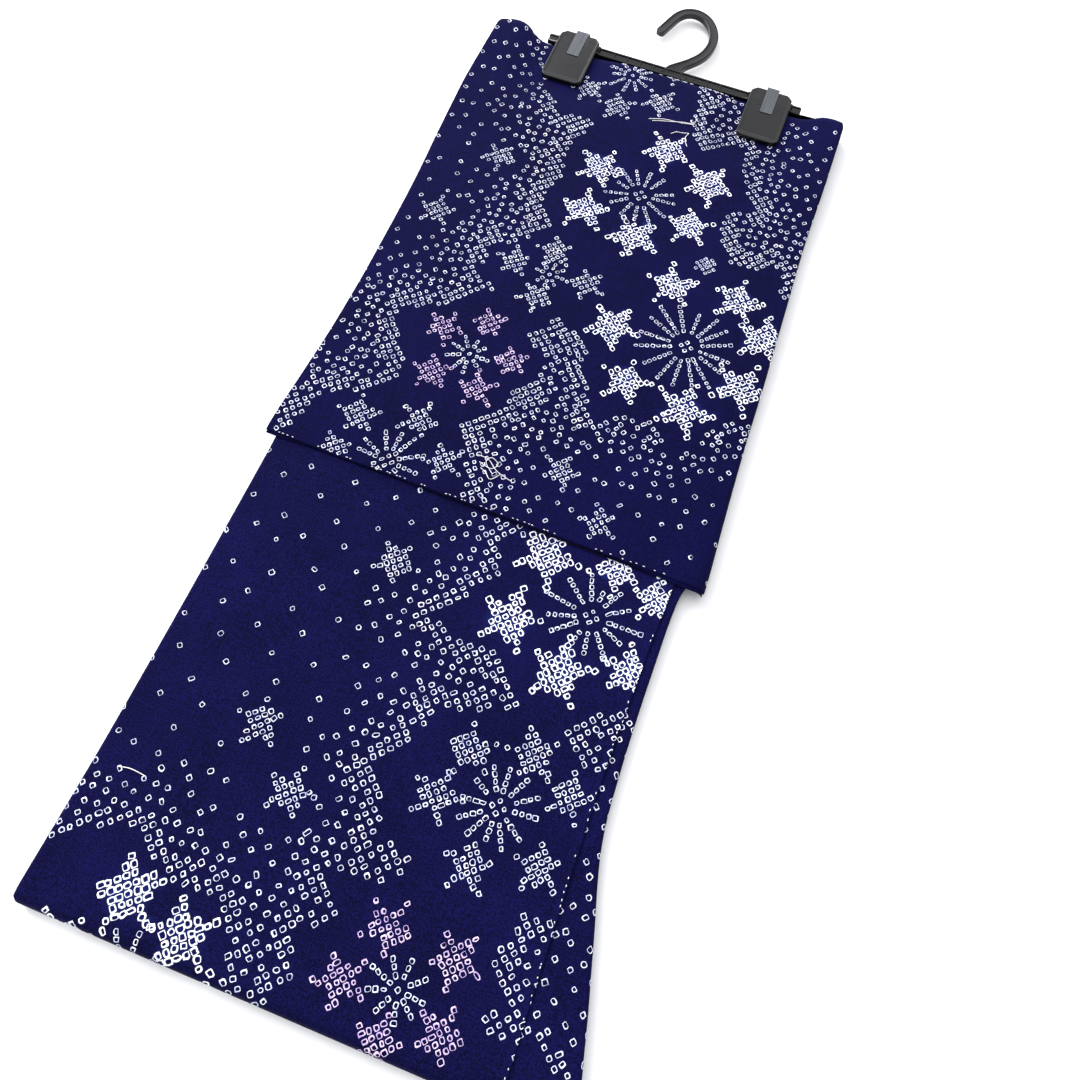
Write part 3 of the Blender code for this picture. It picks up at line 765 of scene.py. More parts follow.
class Lay(ABC):
    """How a layer of cloth lies: turns places on the cloth into points of the packet."""

    @abstractmethod
    def place(self, s: Array, t: Array, depth: Array) -> Array:
        """Points for places s across and t along the cloth, a depth under its outer face."""

    @abstractmethod
    def edges(self, t: Array) -> Arrays:
        """Left and right end of the cloth at each t, measured along the cloth."""


@dataclass(frozen=True)
class SleeveLay(Lay):
    """The sleeve: over the shoulder end, level, and rolled down at its right-hand edge."""

    tuck: float = 0.0  # how far down past the roll the right-hand edge goes

    def edges(self, t: Array) -> Arrays:
        """Left and right end of the sleeve's cloth.

        Args:
            t: places along the sleeve.

        Returns:
            Where its cloth starts and ends, at each t.
        """
        rows = PACKET.sleeve_rows
        roll = curve(rows, "roll", t)
        rounding = PACKET.rounding(self.run_at(t))
        right = curve(rows, "right", t) - roll + roll * math.pi / 2 + self.tuck
        return curve(rows, "left", t) + rounding, right - rounding

    def run_at(self, t: Array) -> Array:
        """How far down the packet each t lies, before the skew.

        Args:
            t: places along the sleeve.

        Returns:
            The run at each t.
        """
        radius = PACKET.shoulder_roll
        angle = np.clip((radius - t) / radius, 0.0, math.pi / 2)
        return np.where(t < radius, radius - radius * np.sin(angle), t)

    def place(self, s: Array, t: Array, depth: Array) -> Array:
        """Points of the sleeve.

        Args:
            s, t: places on the sleeve's cloth.
            depth: how far under its outer face.

        Returns:
            The points, as X, Y and Z.
        """
        radius = PACKET.shoulder_roll
        level_t = np.maximum(t, radius)
        rows = PACKET.sleeve_rows
        roll = curve(rows, "roll", level_t)
        rounding = PACKET.rounding(self.run_at(t))
        right = Side(curve(rows, "right", level_t) - roll - rounding, roll)
        flat, across, sunk = turn_down(s, depth, None, right)
        angle = np.clip((radius - t) / radius, 0.0, 2.0)
        top = PACKET.body_top(flat, level_t) + PACKET.gap + PACKET.sleeve_wall
        top = top + self.relief(flat, level_t)
        run = self.run_at(t)
        bulge = PACKET.bulge(flat, run)
        run = run * (1.0 + PACKET.sleeve_skew * flat)
        height = top - radius + radius * np.cos(angle)
        return np.stack([across, PACKET.shoulder_y - run + bulge - sunk * np.sin(angle),
                         height - sunk * np.cos(angle)], axis=-1)

    def relief(self, across: Array, run: Array) -> Array:
        """Creases and slow waves of the pressed cloth.

        Args:
            across, run: places on the cloth.

        Returns:
            The rise at each place.
        """
        rise = sum(crease.height(across, run) for crease in PACKET.sleeve_creases)
        return PACKET.slack(across, run) * (rise + PACKET.sleeve_waves.rise(across, run))


class Panel(Enum):
    """The body's layers, by how their edges lie."""

    BACK = "turned down at the left, pressed over the seam at the right"
    FRONT = "under the seam at the left, turned down at the right"
    INNER = "folded inside"


@dataclass(frozen=True)
class BodyLay(Lay):
    """A body panel: from the shoulder end, round the half-length fold and back underneath."""

    panel: Panel = Panel.BACK
    rest_clearance: float = 0.15 * MM  # the outer panel's threads stand on the surface
    uncovered: Pair = (0.40, 0.50)  # run over which the sleeve's weight ends
    covered_share: float = 0.25  # share of creases and waves left under the sleeve
    corner_ease: float = 1.15  # its shoulder corners against the sleeve's,
    corner_shift: float = 2 * MM  # and how much further down they reach

    def fold_turn(self) -> float:
        """Length of cloth in the half-length fold."""
        return math.pi * PACKET.fold_radius

    def run_at(self, t: Array) -> Array:
        """How far down the packet each t lies.

        Args:
            t: places along the panel.

        Returns:
            The run at each t, which falls again underneath.
        """
        past = t - PACKET.fold_run
        angle = np.clip(past / PACKET.fold_radius, 0.0, math.pi)
        under = PACKET.fold_run - (past - self.fold_turn())
        round_fold = PACKET.fold_run + PACKET.fold_radius * np.sin(angle)
        return np.where(past <= 0, t, np.where(past < self.fold_turn(), round_fold, under))

    def edges(self, t: Array) -> Arrays:
        """Left and right end of the panel's cloth.

        Args:
            t: places along the panel.

        Returns:
            Where its cloth starts and ends, at each t.
        """
        run = self.run_at(t)
        rows = PACKET.body_rows
        spare = PACKET.panel_roll * (math.pi / 2 - 1)
        rounding = self.rounding(run)
        left, seam = curve(rows, "left", run) + rounding, curve(rows, "seam", run)
        right = curve(rows, "right", run) - rounding
        if self.panel is Panel.BACK:
            return left - spare, seam + SEAM.overhang
        if self.panel is Panel.FRONT:
            return seam - SEAM.tongue, right + spare
        return left, right

    def rounding(self, run: Array) -> Array:
        """How far the shoulder's corners draw this layer in, a little more than the sleeve."""
        return self.corner_ease * PACKET.rounding(run - self.corner_shift)

    def place(self, s: Array, t: Array, depth: Array) -> Array:
        """Points of the panel.

        Args:
            s, t: places on the panel's cloth.
            depth: how far under its outer face.

        Returns:
            The points, as X, Y and Z.
        """
        run = self.run_at(t)
        start = PACKET.shoulder_roll
        radius = start - PACKET.sleeve_wall - PACKET.gap
        flat, across, sunk = self.turned(s, run, depth)
        past = t - PACKET.fold_run
        fold = np.clip(past / PACKET.fold_radius, 0.0, math.pi)
        crown = np.clip((start - t) / radius, 0.0, math.pi / 2)
        level = np.maximum(run, start)
        top = PACKET.body_top(flat, level)
        on_top = past <= 0
        if self.panel is not Panel.INNER:
            top = top + np.where(on_top, self.relief(flat, level), 0.0)
        half = (PACKET.body_top(flat, level) - PACKET.lift(level)) / 2
        core = PACKET.panel_wall + PACKET.gap
        squeeze = (half - core) / (PACKET.fold_radius - core)
        sunk = np.where(sunk > core, core + (sunk - core) * squeeze, sunk)
        clear = self.rest_clearance * (1 - np.cos(fold)) / 2
        height = np.where(on_top, top - radius + radius * np.cos(crown),
                          np.where(past < self.fold_turn(), PACKET.fold_radius * (1 + np.cos(fold)),
                                   PACKET.lift(run)) + clear)
        run = np.where(t < start, start - radius * np.sin(crown), run)
        outward_y = np.where(on_top, np.sin(crown), -np.sin(fold))
        outward_z = np.where(on_top, np.cos(crown), np.cos(fold))
        out = PACKET.shoulder_y - run + PACKET.bulge(flat, run)
        return np.stack([across, out - sunk * outward_y, height - sunk * outward_z], axis=-1)

    def turned(self, s: Array, run: Array, depth: Array) -> tuple[Array, Array, Array]:
        """Turn the panel's outer edge down.

        Args:
            s: places across the panel.
            run: how far down the packet they lie.
            depth: how far under the outer face.

        Returns:
            As turn_down gives.
        """
        radius = np.full_like(s, PACKET.panel_roll)
        rounding = self.rounding(run)
        if self.panel is Panel.BACK:
            left = curve(PACKET.body_rows, "left", run) + radius + rounding
            return turn_down(s, depth, Side(left, radius), None)
        if self.panel is Panel.FRONT:
            right = curve(PACKET.body_rows, "right", run) - radius - rounding
            return turn_down(s, depth, None, Side(right, radius))
        return s, s, depth.copy()

    def relief(self, across: Array, run: Array) -> Array:
        """Creases, slow waves and, beside the seam, the pressed overhang.

        Args:
            across, run: places on the cloth.

        Returns:
            The rise at each place.
        """
        rise = sum(crease.height(across, run) for crease in PACKET.body_creases)
        rise = rise + PACKET.body_waves.rise(across, run)
        if self.panel is Panel.BACK:
            inward = curve(PACKET.body_rows, "seam", run) - across
            rise = rise + SEAM.rise * (1 - smooth(inward, 0.0, SEAM.ramp))
        if self.panel is Panel.FRONT:
            outward = across - curve(PACKET.body_rows, "seam", run)
            rise = rise - SEAM.groove * (1 - smooth(outward, 0.0, SEAM.groove_width))
        visible = smooth(run, *self.uncovered)
        shown = self.covered_share + (1 - self.covered_share) * visible
        return PACKET.slack(across, run) * rise * shown


@dataclass(frozen=True)
class SideSeam:
    """The hand-sewn side seam, pressed so that the back panel hides the stitches."""

    overhang: float = 0.5 * MM  # how far the pressed fold hangs over the front panel
    rise: float = 0.8 * MM  # of the back panel towards its pressed fold
    ramp: float = 5.0 * MM
    tongue: float = 0.8 * MM  # how far the front panel goes in under the back panel
    groove: float = 0.55 * MM  # how much deeper the front panel lies beside the fold
    groove_width: float = 4.0 * MM


SEAM = SideSeam()


# Meshes
def piece_from(name: str, points: Array, faces: Sequence[Sequence[int]], finishes: Sequence[Finish],
               slot: str, which: Sequence[int] | None = None, smooth_angle: float = 60.0) -> Piece:
    """Make a piece that rides on the packet.

    Args:
        name: the piece's name.
        points: its points, one a row.
        faces: its faces, as numbers of points.
        finishes: its finishes, in the order of its material slots.
        slot: not used.
        which: for each face, the number of its finish.
        smooth_angle: edges sharper than this many degrees stay sharp.

    Returns:
        The new object.
    """
    mesh = bpy.data.meshes.new(name)
    mesh.from_pydata(np.asarray(points).tolist(), [], [list(map(int, f)) for f in faces])
    for finish in finishes:
        mesh.materials.append(finish.material())
    if which is not None:
        mesh.polygons.foreach_set("material_index", np.asarray(which, np.int32))
    mesh.shade_smooth()
    mesh.set_sharp_from_angle(angle=math.radians(smooth_angle))
    mesh.update()
    made = bpy.data.objects.new(name, mesh)
    put_in_scene(made)
    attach(made, BODY)
    return made


def put_in_scene(made: Piece) -> None:
    """Link an object to the scene."""
    bpy.context.scene.collection.objects.link(made)


def skin(loops: int, around: int, first: int = 0) -> Faces:
    """Faces that join a row of closed loops of points, and cap both ends.

    Args:
        loops: how many loops there are.
        around: how many points each loop has.
        first: number of the first point.

    Returns:
        The faces, as numbers of points.
    """
    faces = []
    for loop in range(loops - 1):
        near = first + loop * around
        for place in range(around):
            turn = (place + 1) % around
            faces.append([near + place, near + turn, near + around + turn, near + around + place])
    last = first + (loops - 1) * around
    faces.append([first + place for place in reversed(range(around))])
    faces.append([last + place for place in range(around)])
    return faces


EDGE_ANGLES = np.radians([22.5, 67.5, 112.5, 157.5])  # points round a cloth's cut or folded edge
END_ANGLES = np.radians([90.0, 62.0, 30.0])  # stations round its rounded ends


@dataclass
class ClothSheet:
    """A sheet of cloth with rounded edges, skinned along its length."""

    name: str
    lay: Lay
    start: float
    end: float
    wall: float
    depth: float = 0.0
    step: float = 5 * MM
    columns: int = 76
    roll_columns: tuple[int, int] = (0, 0)  # extra columns at the left and right ends
    roll_width: Pair = (0.0, 0.0)
    inset: Callable[[Array], Arrays] | None = None
    stretch: Callable[[Array], Array] | None = None  # change of t near the lower end, by share

    def stations(self) -> list[Pair]:
        """Each station's t, and how much its section is squeezed by the rounded end.

        Returns:
            One pair for each station, from the start to the end.
        """
        radius = self.wall / 2
        inner = np.arange(self.start + radius + self.step, self.end - radius, self.step)
        rows = [(self.start + radius * (1 - math.sin(a)), radius * (1 - math.cos(a))) for a in END_ANGLES]
        rows += [(float(t), 0.0) for t in inner]
        rows += [(self.end - radius * (1 - math.sin(a)), radius * (1 - math.cos(a)))
                 for a in reversed(END_ANGLES)]
        return rows

    def shares(self) -> Array:
        """Places across the sheet, from 0 at its left end to 1 at its right.

        Returns:
            The places, in rising order.
        """
        left, right = self.roll_width
        parts = [np.linspace(left, 1 - right, self.columns)]
        if self.roll_columns[0]:
            parts.insert(0, np.linspace(0, left, self.roll_columns[0], endpoint=False))
        if self.roll_columns[1]:
            parts.append(np.linspace(1 - right, 1, self.roll_columns[1] + 1)[1:])
        return np.concatenate(parts)

    def outline(self, t: float, squeeze: float) -> Arrays:
        """Places across and depths of one closed section.

        Args:
            t: the section's place along the cloth.
            squeeze: how much thinner it is on each side.

        Returns:
            Place across and depth of each point, once round.
        """
        left, right = (float(edge) for edge in self.lay.edges(np.array(t)))
        if self.inset is not None:
            more_left, more_right = (float(x) for x in self.inset(np.array(t)))
            left, right = left + more_left, right - more_right
        radius = self.wall / 2 - squeeze
        low, high = left + self.wall / 2, right - self.wall / 2
        across = low + self.shares() * (high - low)
        top = np.full_like(across, self.depth + squeeze)
        bottom = np.full_like(across, self.depth + self.wall - squeeze)
        middle = self.depth + self.wall / 2
        reach, sink = radius * np.sin(EDGE_ANGLES), radius * np.cos(EDGE_ANGLES)
        s = np.concatenate([across, high + reach, across[::-1], low - reach])
        depth = np.concatenate([top, middle - sink, bottom, middle + sink])
        return s, depth

    def build(self, finish: Finish, slot: str) -> Piece:
        """Make the sheet.

        Args:
            finish: its finish.
            slot: handed on to piece_from.

        Returns:
            The new piece.
        """
        loops = []
        for t, squeeze in self.stations():
            s, depth = self.outline(t, squeeze)
            along = np.full_like(s, t)
            if self.stretch is not None:
                along = along + self.stretch(s) * float(smooth(t, self.start, self.end))
            loops.append(self.lay.place(s, along, depth))
        around = len(loops[0])
        points = np.concatenate(loops)
        return piece_from(self.name, points, skin(len(loops), around), [finish], slot)


# The tie-dyed rings
class Tone(Enum):
    """How clearly a ring was kept from the dye."""

    BRIGHT = 0
    SOFT = 1
    FAINT = 2
    LILAC = 3


TONE_FINISHES = (
    BoundCotton("undyed_cotton_bright", clear="#fdfdff", stained="#dbe2f7", stain=0.30),
    BoundCotton("undyed_cotton_soft", clear="#f8f9ff", stained="#b9c6ee", stain=0.42),
    BoundCotton("undyed_cotton_faint", clear="#f4f5fc", stained="#bcc6e6", stain=0.42),
    BoundCotton("undyed_cotton_lilac", clear="#edd9f5", stained="#b293d2", stain=0.46),
)


@dataclass(frozen=True)
class RingSize:
    """Size of a tied ring: half its outer width, and the width of its line."""

    half: float
    line: float


RING_SIZES = {
    Tone.BRIGHT: RingSize(2.40 * MM, 0.99 * MM),
    Tone.SOFT: RingSize(1.96 * MM, 0.65 * MM),
    Tone.FAINT: RingSize(1.90 * MM, 0.60 * MM),
    Tone.LILAC: RingSize(2.03 * MM, 0.72 * MM),
}
BIAS = math.radians(45.0)  # rings are tied in rows on the bias of the cloth
STAR_PITCH = 5.35 * MM  # from ring to ring along a row of a large star


class Rings:
    """A growing list of rings on one piece of cloth."""

    COLUMNS = ("s", "t", "half_u", "half_v", "turn", "line", "tone")
    UNEVEN = (0.07, 0.08, 0.12, 0.12)  # spread of size, slimness, turn and line

    def __init__(self, seed: int) -> None:
        """Start an empty list, with random numbers of its own."""
        self.random = np.random.default_rng(seed)
        self.rows: list[Array] = []

    def add(self, s: Array, t: Array, tone: Tone, scale: float = 1.0, turn: Array | float = 0.0,
            slim: float = 1.0, line: float = 1.0) -> None:
        """Add rings of a tone.

        Args:
            s, t: their middles on the cloth.
            tone: how clear they are.
            scale: their size against the tone's usual one.
            turn: their turn from the bias, in radians.
            slim: their width against their length.
            line: the width of their line against the tone's usual one.
        """
        s = np.atleast_1d(s)
        count = len(s)
        if not count:
            return
        size = RING_SIZES[tone]
        vary = self.random.normal(0.0, 1.0, (5, count))[:4] * np.array(self.UNEVEN)[:, None]
        half = size.half * scale * (1 + vary[0])
        aspect = 1 + vary[1]
        self.rows.append(np.stack([
            s, np.atleast_1d(t), half * aspect * slim, half / aspect,
            turn + vary[2] + np.zeros(count), size.line * line * (1 + vary[3]),
            np.full(count, tone.value, float)], axis=1))

    def table(self) -> Array:
        """All rings, one a row, in the order of COLUMNS."""
        return np.concatenate(self.rows) if self.rows else np.zeros((0, len(self.COLUMNS)))


def star_limit(angle: Array, tip: float, valley: float) -> Array:
    """Distance from a five-pointed star's middle to its outline.

    Args:
        angle: directions, in radians from a tip.
        tip, valley: radius of the tips and of the valleys between them.

    Returns:
        The distance in each direction.
    """
    sector = math.radians(36.0)
    folded = np.abs((angle + sector) % (2 * sector) - sector)
    x, y = valley * math.cos(sector), valley * math.sin(sector)
    return tip * y / (y * np.cos(folded) - (x - tip) * np.sin(folded))


@dataclass(frozen=True)
class Star:
    """A five-pointed star that is filled with rings."""

    s: float
    t: float
    radius: float
    turn: float  # degrees from the cloth's length to its first tip
    tone: Tone = Tone.SOFT
    valley: float = 0.50  # share of the radius at which the valleys lie

    def tie(self, rings: Rings) -> None:
        """Add the star's rings: a patch of the bias lattice, and one ring at each tip.

        Args:
            rings: the list that they go to.
        """
        random = rings.random
        scale = min(1.0, 0.66 + self.radius / (72 * MM))    # a small star has smaller rings
        pitch = STAR_PITCH * scale
        swing = BIAS + math.radians(random.uniform(-6, 6))
        count = int(self.radius / pitch) + 2
        u, v = np.meshgrid(np.arange(-count, count + 1), np.arange(-count, count + 1))
        shift = random.uniform(-0.5, 0.5, 2)
        u, v = (u.ravel() + shift[0]) * pitch, (v.ravel() + shift[1]) * pitch
        x = u * math.cos(swing) - v * math.sin(swing)
        y = u * math.sin(swing) + v * math.cos(swing)
        away, angle = np.hypot(x, y), np.arctan2(x, y) - math.radians(self.turn)
        inside = away < star_limit(angle, self.radius, self.valley * self.radius) + 0.7 * MM
        x, y = x[inside], y[inside]
        for tip in range(5):    # one ring at each tip and one behind it, where there is room
            way = math.radians(self.turn + 72 * tip)
            for back in (0.0, pitch):
                reach = self.radius * random.uniform(0.93, 1.04) - back
                spot = (reach * math.sin(way), reach * math.cos(way))
                if np.hypot(x - spot[0], y - spot[1]).min() > 0.80 * pitch:
                    x, y = np.append(x, spot[0]), np.append(y, spot[1])
        jitter = random.normal(0.0, 0.05 * pitch, (2, len(x)))
        rings.add(self.s + x + jitter[0], self.t + y + jitter[1], self.tone, scale, swing - BIAS)


@dataclass(frozen=True)
class StarWreath:
    """Stars in a ring round a burst of rays, the main motif of the cloth."""

    s: float
    t: float
    rays: int
    ray_start: float  # mm from the middle
    ray_end: float
    # of each star: degrees from the right, mm out and, of an odd one, its size against the others
    places: tuple[tuple[float, ...], ...]
    star: float  # radius of the stars, mm
    tone: Tone = Tone.SOFT  # of the stars
    star_body: float = 0.72  # share of a star's radius that rays keep out of
    one_ring: float = 9.0  # rays that start nearer, in mm, leave room for one ring only
    ray_pitch: float = 4.7 * MM
    ray_gap: float = 1.5 * MM  # between a ray and a star

    def stars(self) -> list[Star]:
        """The wreath's stars, with hand-made unevenness.

        Returns:
            The stars, in the order of places.
        """
        random = np.random.default_rng(int(1e6 * (self.s + 3 * self.t)) % 9973)   # its own seed
        made = []
        for angle, reach, *odd in self.places:
            away = reach * MM
            radius = self.star * MM * (odd[0] if odd else 1.0)
            way = math.radians(angle)
            made.append(Star(self.s + away * math.cos(way), self.t - away * math.sin(way),
                             radius * random.uniform(0.93, 1.05), random.uniform(0, 72), self.tone))
        return made

    def clear_reach(self, angle: float) -> float:
        """How far a ray at an angle can go before it meets a star.

        Args:
            angle: the ray's direction, in radians from the right.

        Returns:
            The distance from the wreath's middle.
        """
        reach = 1.0
        for star_angle, out, *_ in self.places:
            turn = angle - math.radians(star_angle)
            aside, ahead = abs(math.sin(turn)) * out * MM, math.cos(turn) * out * MM
            body = self.star_body * (self.star * MM)
            if ahead > 0 and aside < body:
                reach = min(reach, ahead - math.sqrt(body ** 2 - aside ** 2) - self.ray_gap)
        return reach

    def tie(self, rings: Rings) -> None:
        """Add the rays, the rings in the middle, and the stars.

        Args:
            rings: the list that they go to.
        """
        random = rings.random
        middle = 0.78 * STAR_PITCH
        quarter = np.radians([0, 90, 180, 270])
        if self.ray_start < self.one_ring:
            middle, quarter = 0.0, quarter[:1]
        rings.add(self.s + middle * np.cos(quarter), self.t + middle * np.sin(quarter), Tone.SOFT, 0.88)
        for ray in range(self.rays):
            angle = 2 * math.pi * (ray + random.uniform(-0.16, 0.16)) / self.rays
            start = self.ray_start * MM * random.uniform(0.95, 1.2) + 0.6 * (ray % 2) * MM
            end = min(self.ray_end * MM * random.uniform(0.86, 1.08), self.clear_reach(angle))
            away = np.arange(start, max(end, start + 5 * MM), self.ray_pitch)
            away = away + random.normal(0.0, 0.15 * MM, len(away))
            lean = math.pi / 2 - angle - BIAS
            rings.add(self.s + away * math.cos(angle), self.t - away * math.sin(angle),
                      Tone.SOFT, 0.93, lean, slim=0.90, line=0.95)
        for star in self.stars():
            star.tie(rings)


@dataclass(frozen=True)
class PlainGround:
    """A patch of plain cloth round wreaths."""

    corners: tuple[tuple[int, int], ...]  # mm across and down the cloth

    def outside(self, s: Array, t: Array) -> Array:
        """Distance from the patch, below 0 within it.

        Args:
            s, t: places on the cloth.

        Returns:
            The distance at each place.
        """
        loop = np.array(self.corners) / 1000
        inside = np.zeros(len(s), bool)
        nearest = np.full(len(s), np.inf)
        for (s0, t0), (s1, t1) in zip(loop, np.roll(loop, -1, axis=0)):
            ds, dt = s1 - s0, t1 - t0
            share = np.clip(((s - s0) * ds + (t - t0) * dt) / (ds * ds + dt * dt), 0, 1)
            nearest = np.minimum(nearest, np.hypot(s - s0 - share * ds, t - t0 - share * dt))
            crosses = (t0 > t) != (t1 > t)
            safe = dt if dt else 1.0
            inside ^= crosses & (s < s0 + (t - t0) / safe * ds)
        return np.where(inside, -nearest, nearest)


@dataclass(frozen=True)
class Spacing:
    """How closely the ground's rings are tied, by their distance from plain cloth."""

    pitch: float = 6.2 * MM  # from ring to ring along a row
    full: float = 12 * MM  # distance up to which every place of the rows is tied,
    half: float = 27 * MM  # every second one,
    quarter: float = 42 * MM  # every fourth one,
    eighth: float = 58 * MM  # and every eighth one; beyond, every sixteenth


@dataclass(frozen=True)
class FadingGround:
    """A round place where the ground's rings thin out sooner."""

    s: float
    t: float
    radius: float
    extra: float  # distance that its middle adds to the one from plain cloth

    def beyond(self, s: Array, t: Array) -> Array:
        """What it adds at each place of the cloth."""
        near = np.clip(1 - np.hypot(s - self.s, t - self.t) / self.radius, 0, 1)
        return self.extra * near * near * (3 - 2 * near)


@dataclass(frozen=True)
class GroundRings:
    """Scattered rings of the ground, close beside plain patches and sparse away from them."""

    left: float
    right: float
    start: float
    end: float
    spacing: Spacing
    fading: tuple[FadingGround, ...] = ()
    least_gap: float = 4.6 * MM  # between the middles of two rings
    star_gap: float = 5.6 * MM  # between a ring and one of a star
    stray: float = 2.5 * MM  # how far the plain ground's stepped edge strays
    wander: float = 4.5 * MM  # how far the changes of spacing stray
    block: float = 16 * MM  # size of their steps
    star_border: float = 4.0 * MM  # plain cloth round a single star
    loose_near: float = 0.18 * MM  # how far rings stray from their rows close to plain cloth,
    loose_gain: float = 0.034  # how much more for each metre away from it,
    loose_most: float = 2.5 * MM  # and at most

    def steps(self, u: Array, v: Array, seed: int) -> Array:
        """A stepped random value from -1 to 1, the same over blocks on the bias."""
        cell = np.floor(u / self.block) * 57.31 + np.floor(v / self.block) * 131.7 + seed * 17.3
        return 2 * ((np.sin(cell) * 43758.5453) % 1.0) - 1

    def clear(self, s: Array, t: Array, tied: Array) -> Array:
        """Which places lie clear of the rings tied before them.

        Args:
            s, t: middles of the rings to tie.
            tied: rows of the rings tied so far.

        Returns:
            Whether each stays.
        """
        free = np.ones(len(s), bool)
        for at in range(len(s)):
            beside = np.hypot(s[:at][free[:at]] - s[at], t[:at][free[:at]] - t[at])
            others = np.hypot(tied[:, 0] - s[at], tied[:, 1] - t[at])
            free[at] = (beside.min(initial=1.0) > self.least_gap
                        and others.min(initial=1.0) > self.star_gap)
        return free

    def tie(self, rings: Rings, plain: Sequence[PlainGround], stars: Sequence[Star]) -> None:
        """Add the ground's rings.

        Args:
            rings: the list that they go to.
            plain: patches of plain cloth.
            stars: single stars that stand in the ground.
        """
        random = rings.random
        rule = self.spacing
        span = int((self.end - self.start + self.right - self.left) / rule.pitch) + 2
        i, j = np.meshgrid(np.arange(-span, span), np.arange(-span, span))
        i, j = i.ravel(), j.ravel()
        cos, sin = math.cos(BIAS), math.sin(BIAS)
        middle_s, middle_t = (self.left + self.right) / 2, (self.start + self.end) / 2
        s = middle_s + (i * cos - j * sin) * rule.pitch
        t = middle_t + (i * sin + j * cos) * rule.pitch
        # rows that are tied by hand waver by a millimetre or two
        s, t = (s + 1.6 * MM * np.sin(t * 62 + 0.7) + 1.0 * MM * np.sin(s * 41 + t * 23),
                t + 1.5 * MM * np.sin(s * 57 + 1.9))
        near = ((s > self.left) & (s < self.right) & (t > self.start) & (t < self.end))
        i, j, s, t = i[near], j[near], s[near], t[near]
        u, v = (s * cos + t * sin), (t * cos - s * sin)
        away = np.min([patch.outside(s, t) for patch in plain], axis=0)
        beyond = away - self.stray * self.steps(u, v, 1)
        far = beyond + self.wander * self.steps(u * 1.7, v * 1.7, 2)
        far += sum(place.beyond(s, t) for place in self.fading)
        even = (i % 2 == 0) & (j % 2 == 0)
        keep = beyond > 0   # and every place, or every 2nd, 4th, 8th or 16th one
        keep &= (far < rule.full) | ((i + j) % 2 == 0)
        keep &= (far < rule.half) | even
        keep &= (far < rule.quarter) | (even & ((i // 2 + j // 2) % 2 == 0))
        keep &= (far < rule.eighth) | ((i % 4 == 0) & (j % 4 == 0))
        for star in stars:
            keep &= np.hypot(s - star.s, t - star.t) > star.radius + self.star_border
        loose = np.clip(self.loose_near + self.loose_gain * np.maximum(far, 0), 0, self.loose_most)[keep]
        s = s[keep] + random.normal(0, 1, keep.sum()) * loose
        t = t[keep] + random.normal(0, 1, keep.sum()) * loose
        free = self.clear(s, t, rings.table())
        s, t = s[free], t[free]
        tight = far[keep][free] < rule.half
        rings.add(s[tight], t[tight], Tone.SOFT, 0.97)
        rings.add(s[~tight], t[~tight], Tone.FAINT)


@dataclass(frozen=True)
class RingLines:
    """Turns a list of rings into thin raised lines that lie on the cloth."""

    corners: int = 12
    square: Pair = (2.6, 6.5)  # a higher power is squarer
    uneven: float = 0.06  # of the outline
    skew: float = 0.25  # how far the hole strays, by the line's width
    rises: Triple = (-0.04 * MM, 0.20 * MM, -0.02 * MM)  # of the line's outer edge, middle and hole
    flat_rises: Triple = (-0.04 * MM, 0.07 * MM, -0.02 * MM)  # the same underneath

    def build(self, name: str, rings: Array, lay: Lay, base: float, span: Pair, slot: str) -> Piece:
        """Make the rings of one piece of cloth.

        Args:
            name: the new piece's name.
            rings: the rings, one a row.
            lay: how the cloth lies.
            base: depth of the cloth's outer face in that lay.
            span: first and last t of the cloth; what lies beyond them is cut off.
            slot: handed on to piece_from.

        Returns:
            The new piece.
        """
        random = np.random.default_rng(len(rings))
        s, t, half_u, half_v, turn, line, tone = rings.T
        left, right = lay.edges(t)
        inside = ((s + half_u > left) & (s - half_u < right)
                  & (t - half_v > span[0]) & (t + half_v < span[1]))
        s, t, half_u, half_v, turn, line, tone = (x[inside] for x in rings.T)
        count = len(s)
        step = 2 * math.pi / self.corners
        angle = (np.arange(self.corners) + 0.5) * step
        square = random.uniform(*self.square, (count, 1))
        shape = (np.abs(np.cos(angle)) ** square + np.abs(np.sin(angle)) ** square) ** (-1 / square)
        shape = shape * (1 + self.uneven * random.normal(0, 1, (count, self.corners)))
        under = t > PACKET.fold_run
        loops = []
        for inward, rise, flat_rise in zip((0.0, 0.5, 1.0), self.rises, self.flat_rises):
            off = random.normal(0, self.skew, (2, count, 1)) * line[:, None] * inward
            u = (half_u - inward * line)[:, None] * shape * np.cos(angle) + off[0]
            v = (half_v - inward * line)[:, None] * shape * np.sin(angle) + off[1]
            spin = (turn + BIAS)[:, None]
            place_s = s[:, None] + u * np.cos(spin) - v * np.sin(spin)
            place_t = t[:, None] + u * np.sin(spin) + v * np.cos(spin)
            place_t = np.clip(place_t, span[0], span[1])
            low, high = lay.edges(place_t)
            place_s = np.clip(place_s, low, high)
            up = np.where(under, flat_rise, rise)[:, None] + np.zeros_like(place_s)
            loops.append(lay.place(place_s.ravel(), place_t.ravel(), base - up.ravel())
                         .reshape(count, self.corners, 3))
        points = np.stack(loops, axis=1).reshape(-1, 3)
        pattern = np.array(skin(len(loops), self.corners)[:-2])     # without its end caps
        first = np.arange(count)[:, None, None] * (len(loops) * self.corners)
        faces = (pattern[None] + first).reshape(-1, 4)
        which = np.repeat(tone.astype(int), len(pattern))
        return piece_from(name, points, faces, TONE_FINISHES, slot, which)


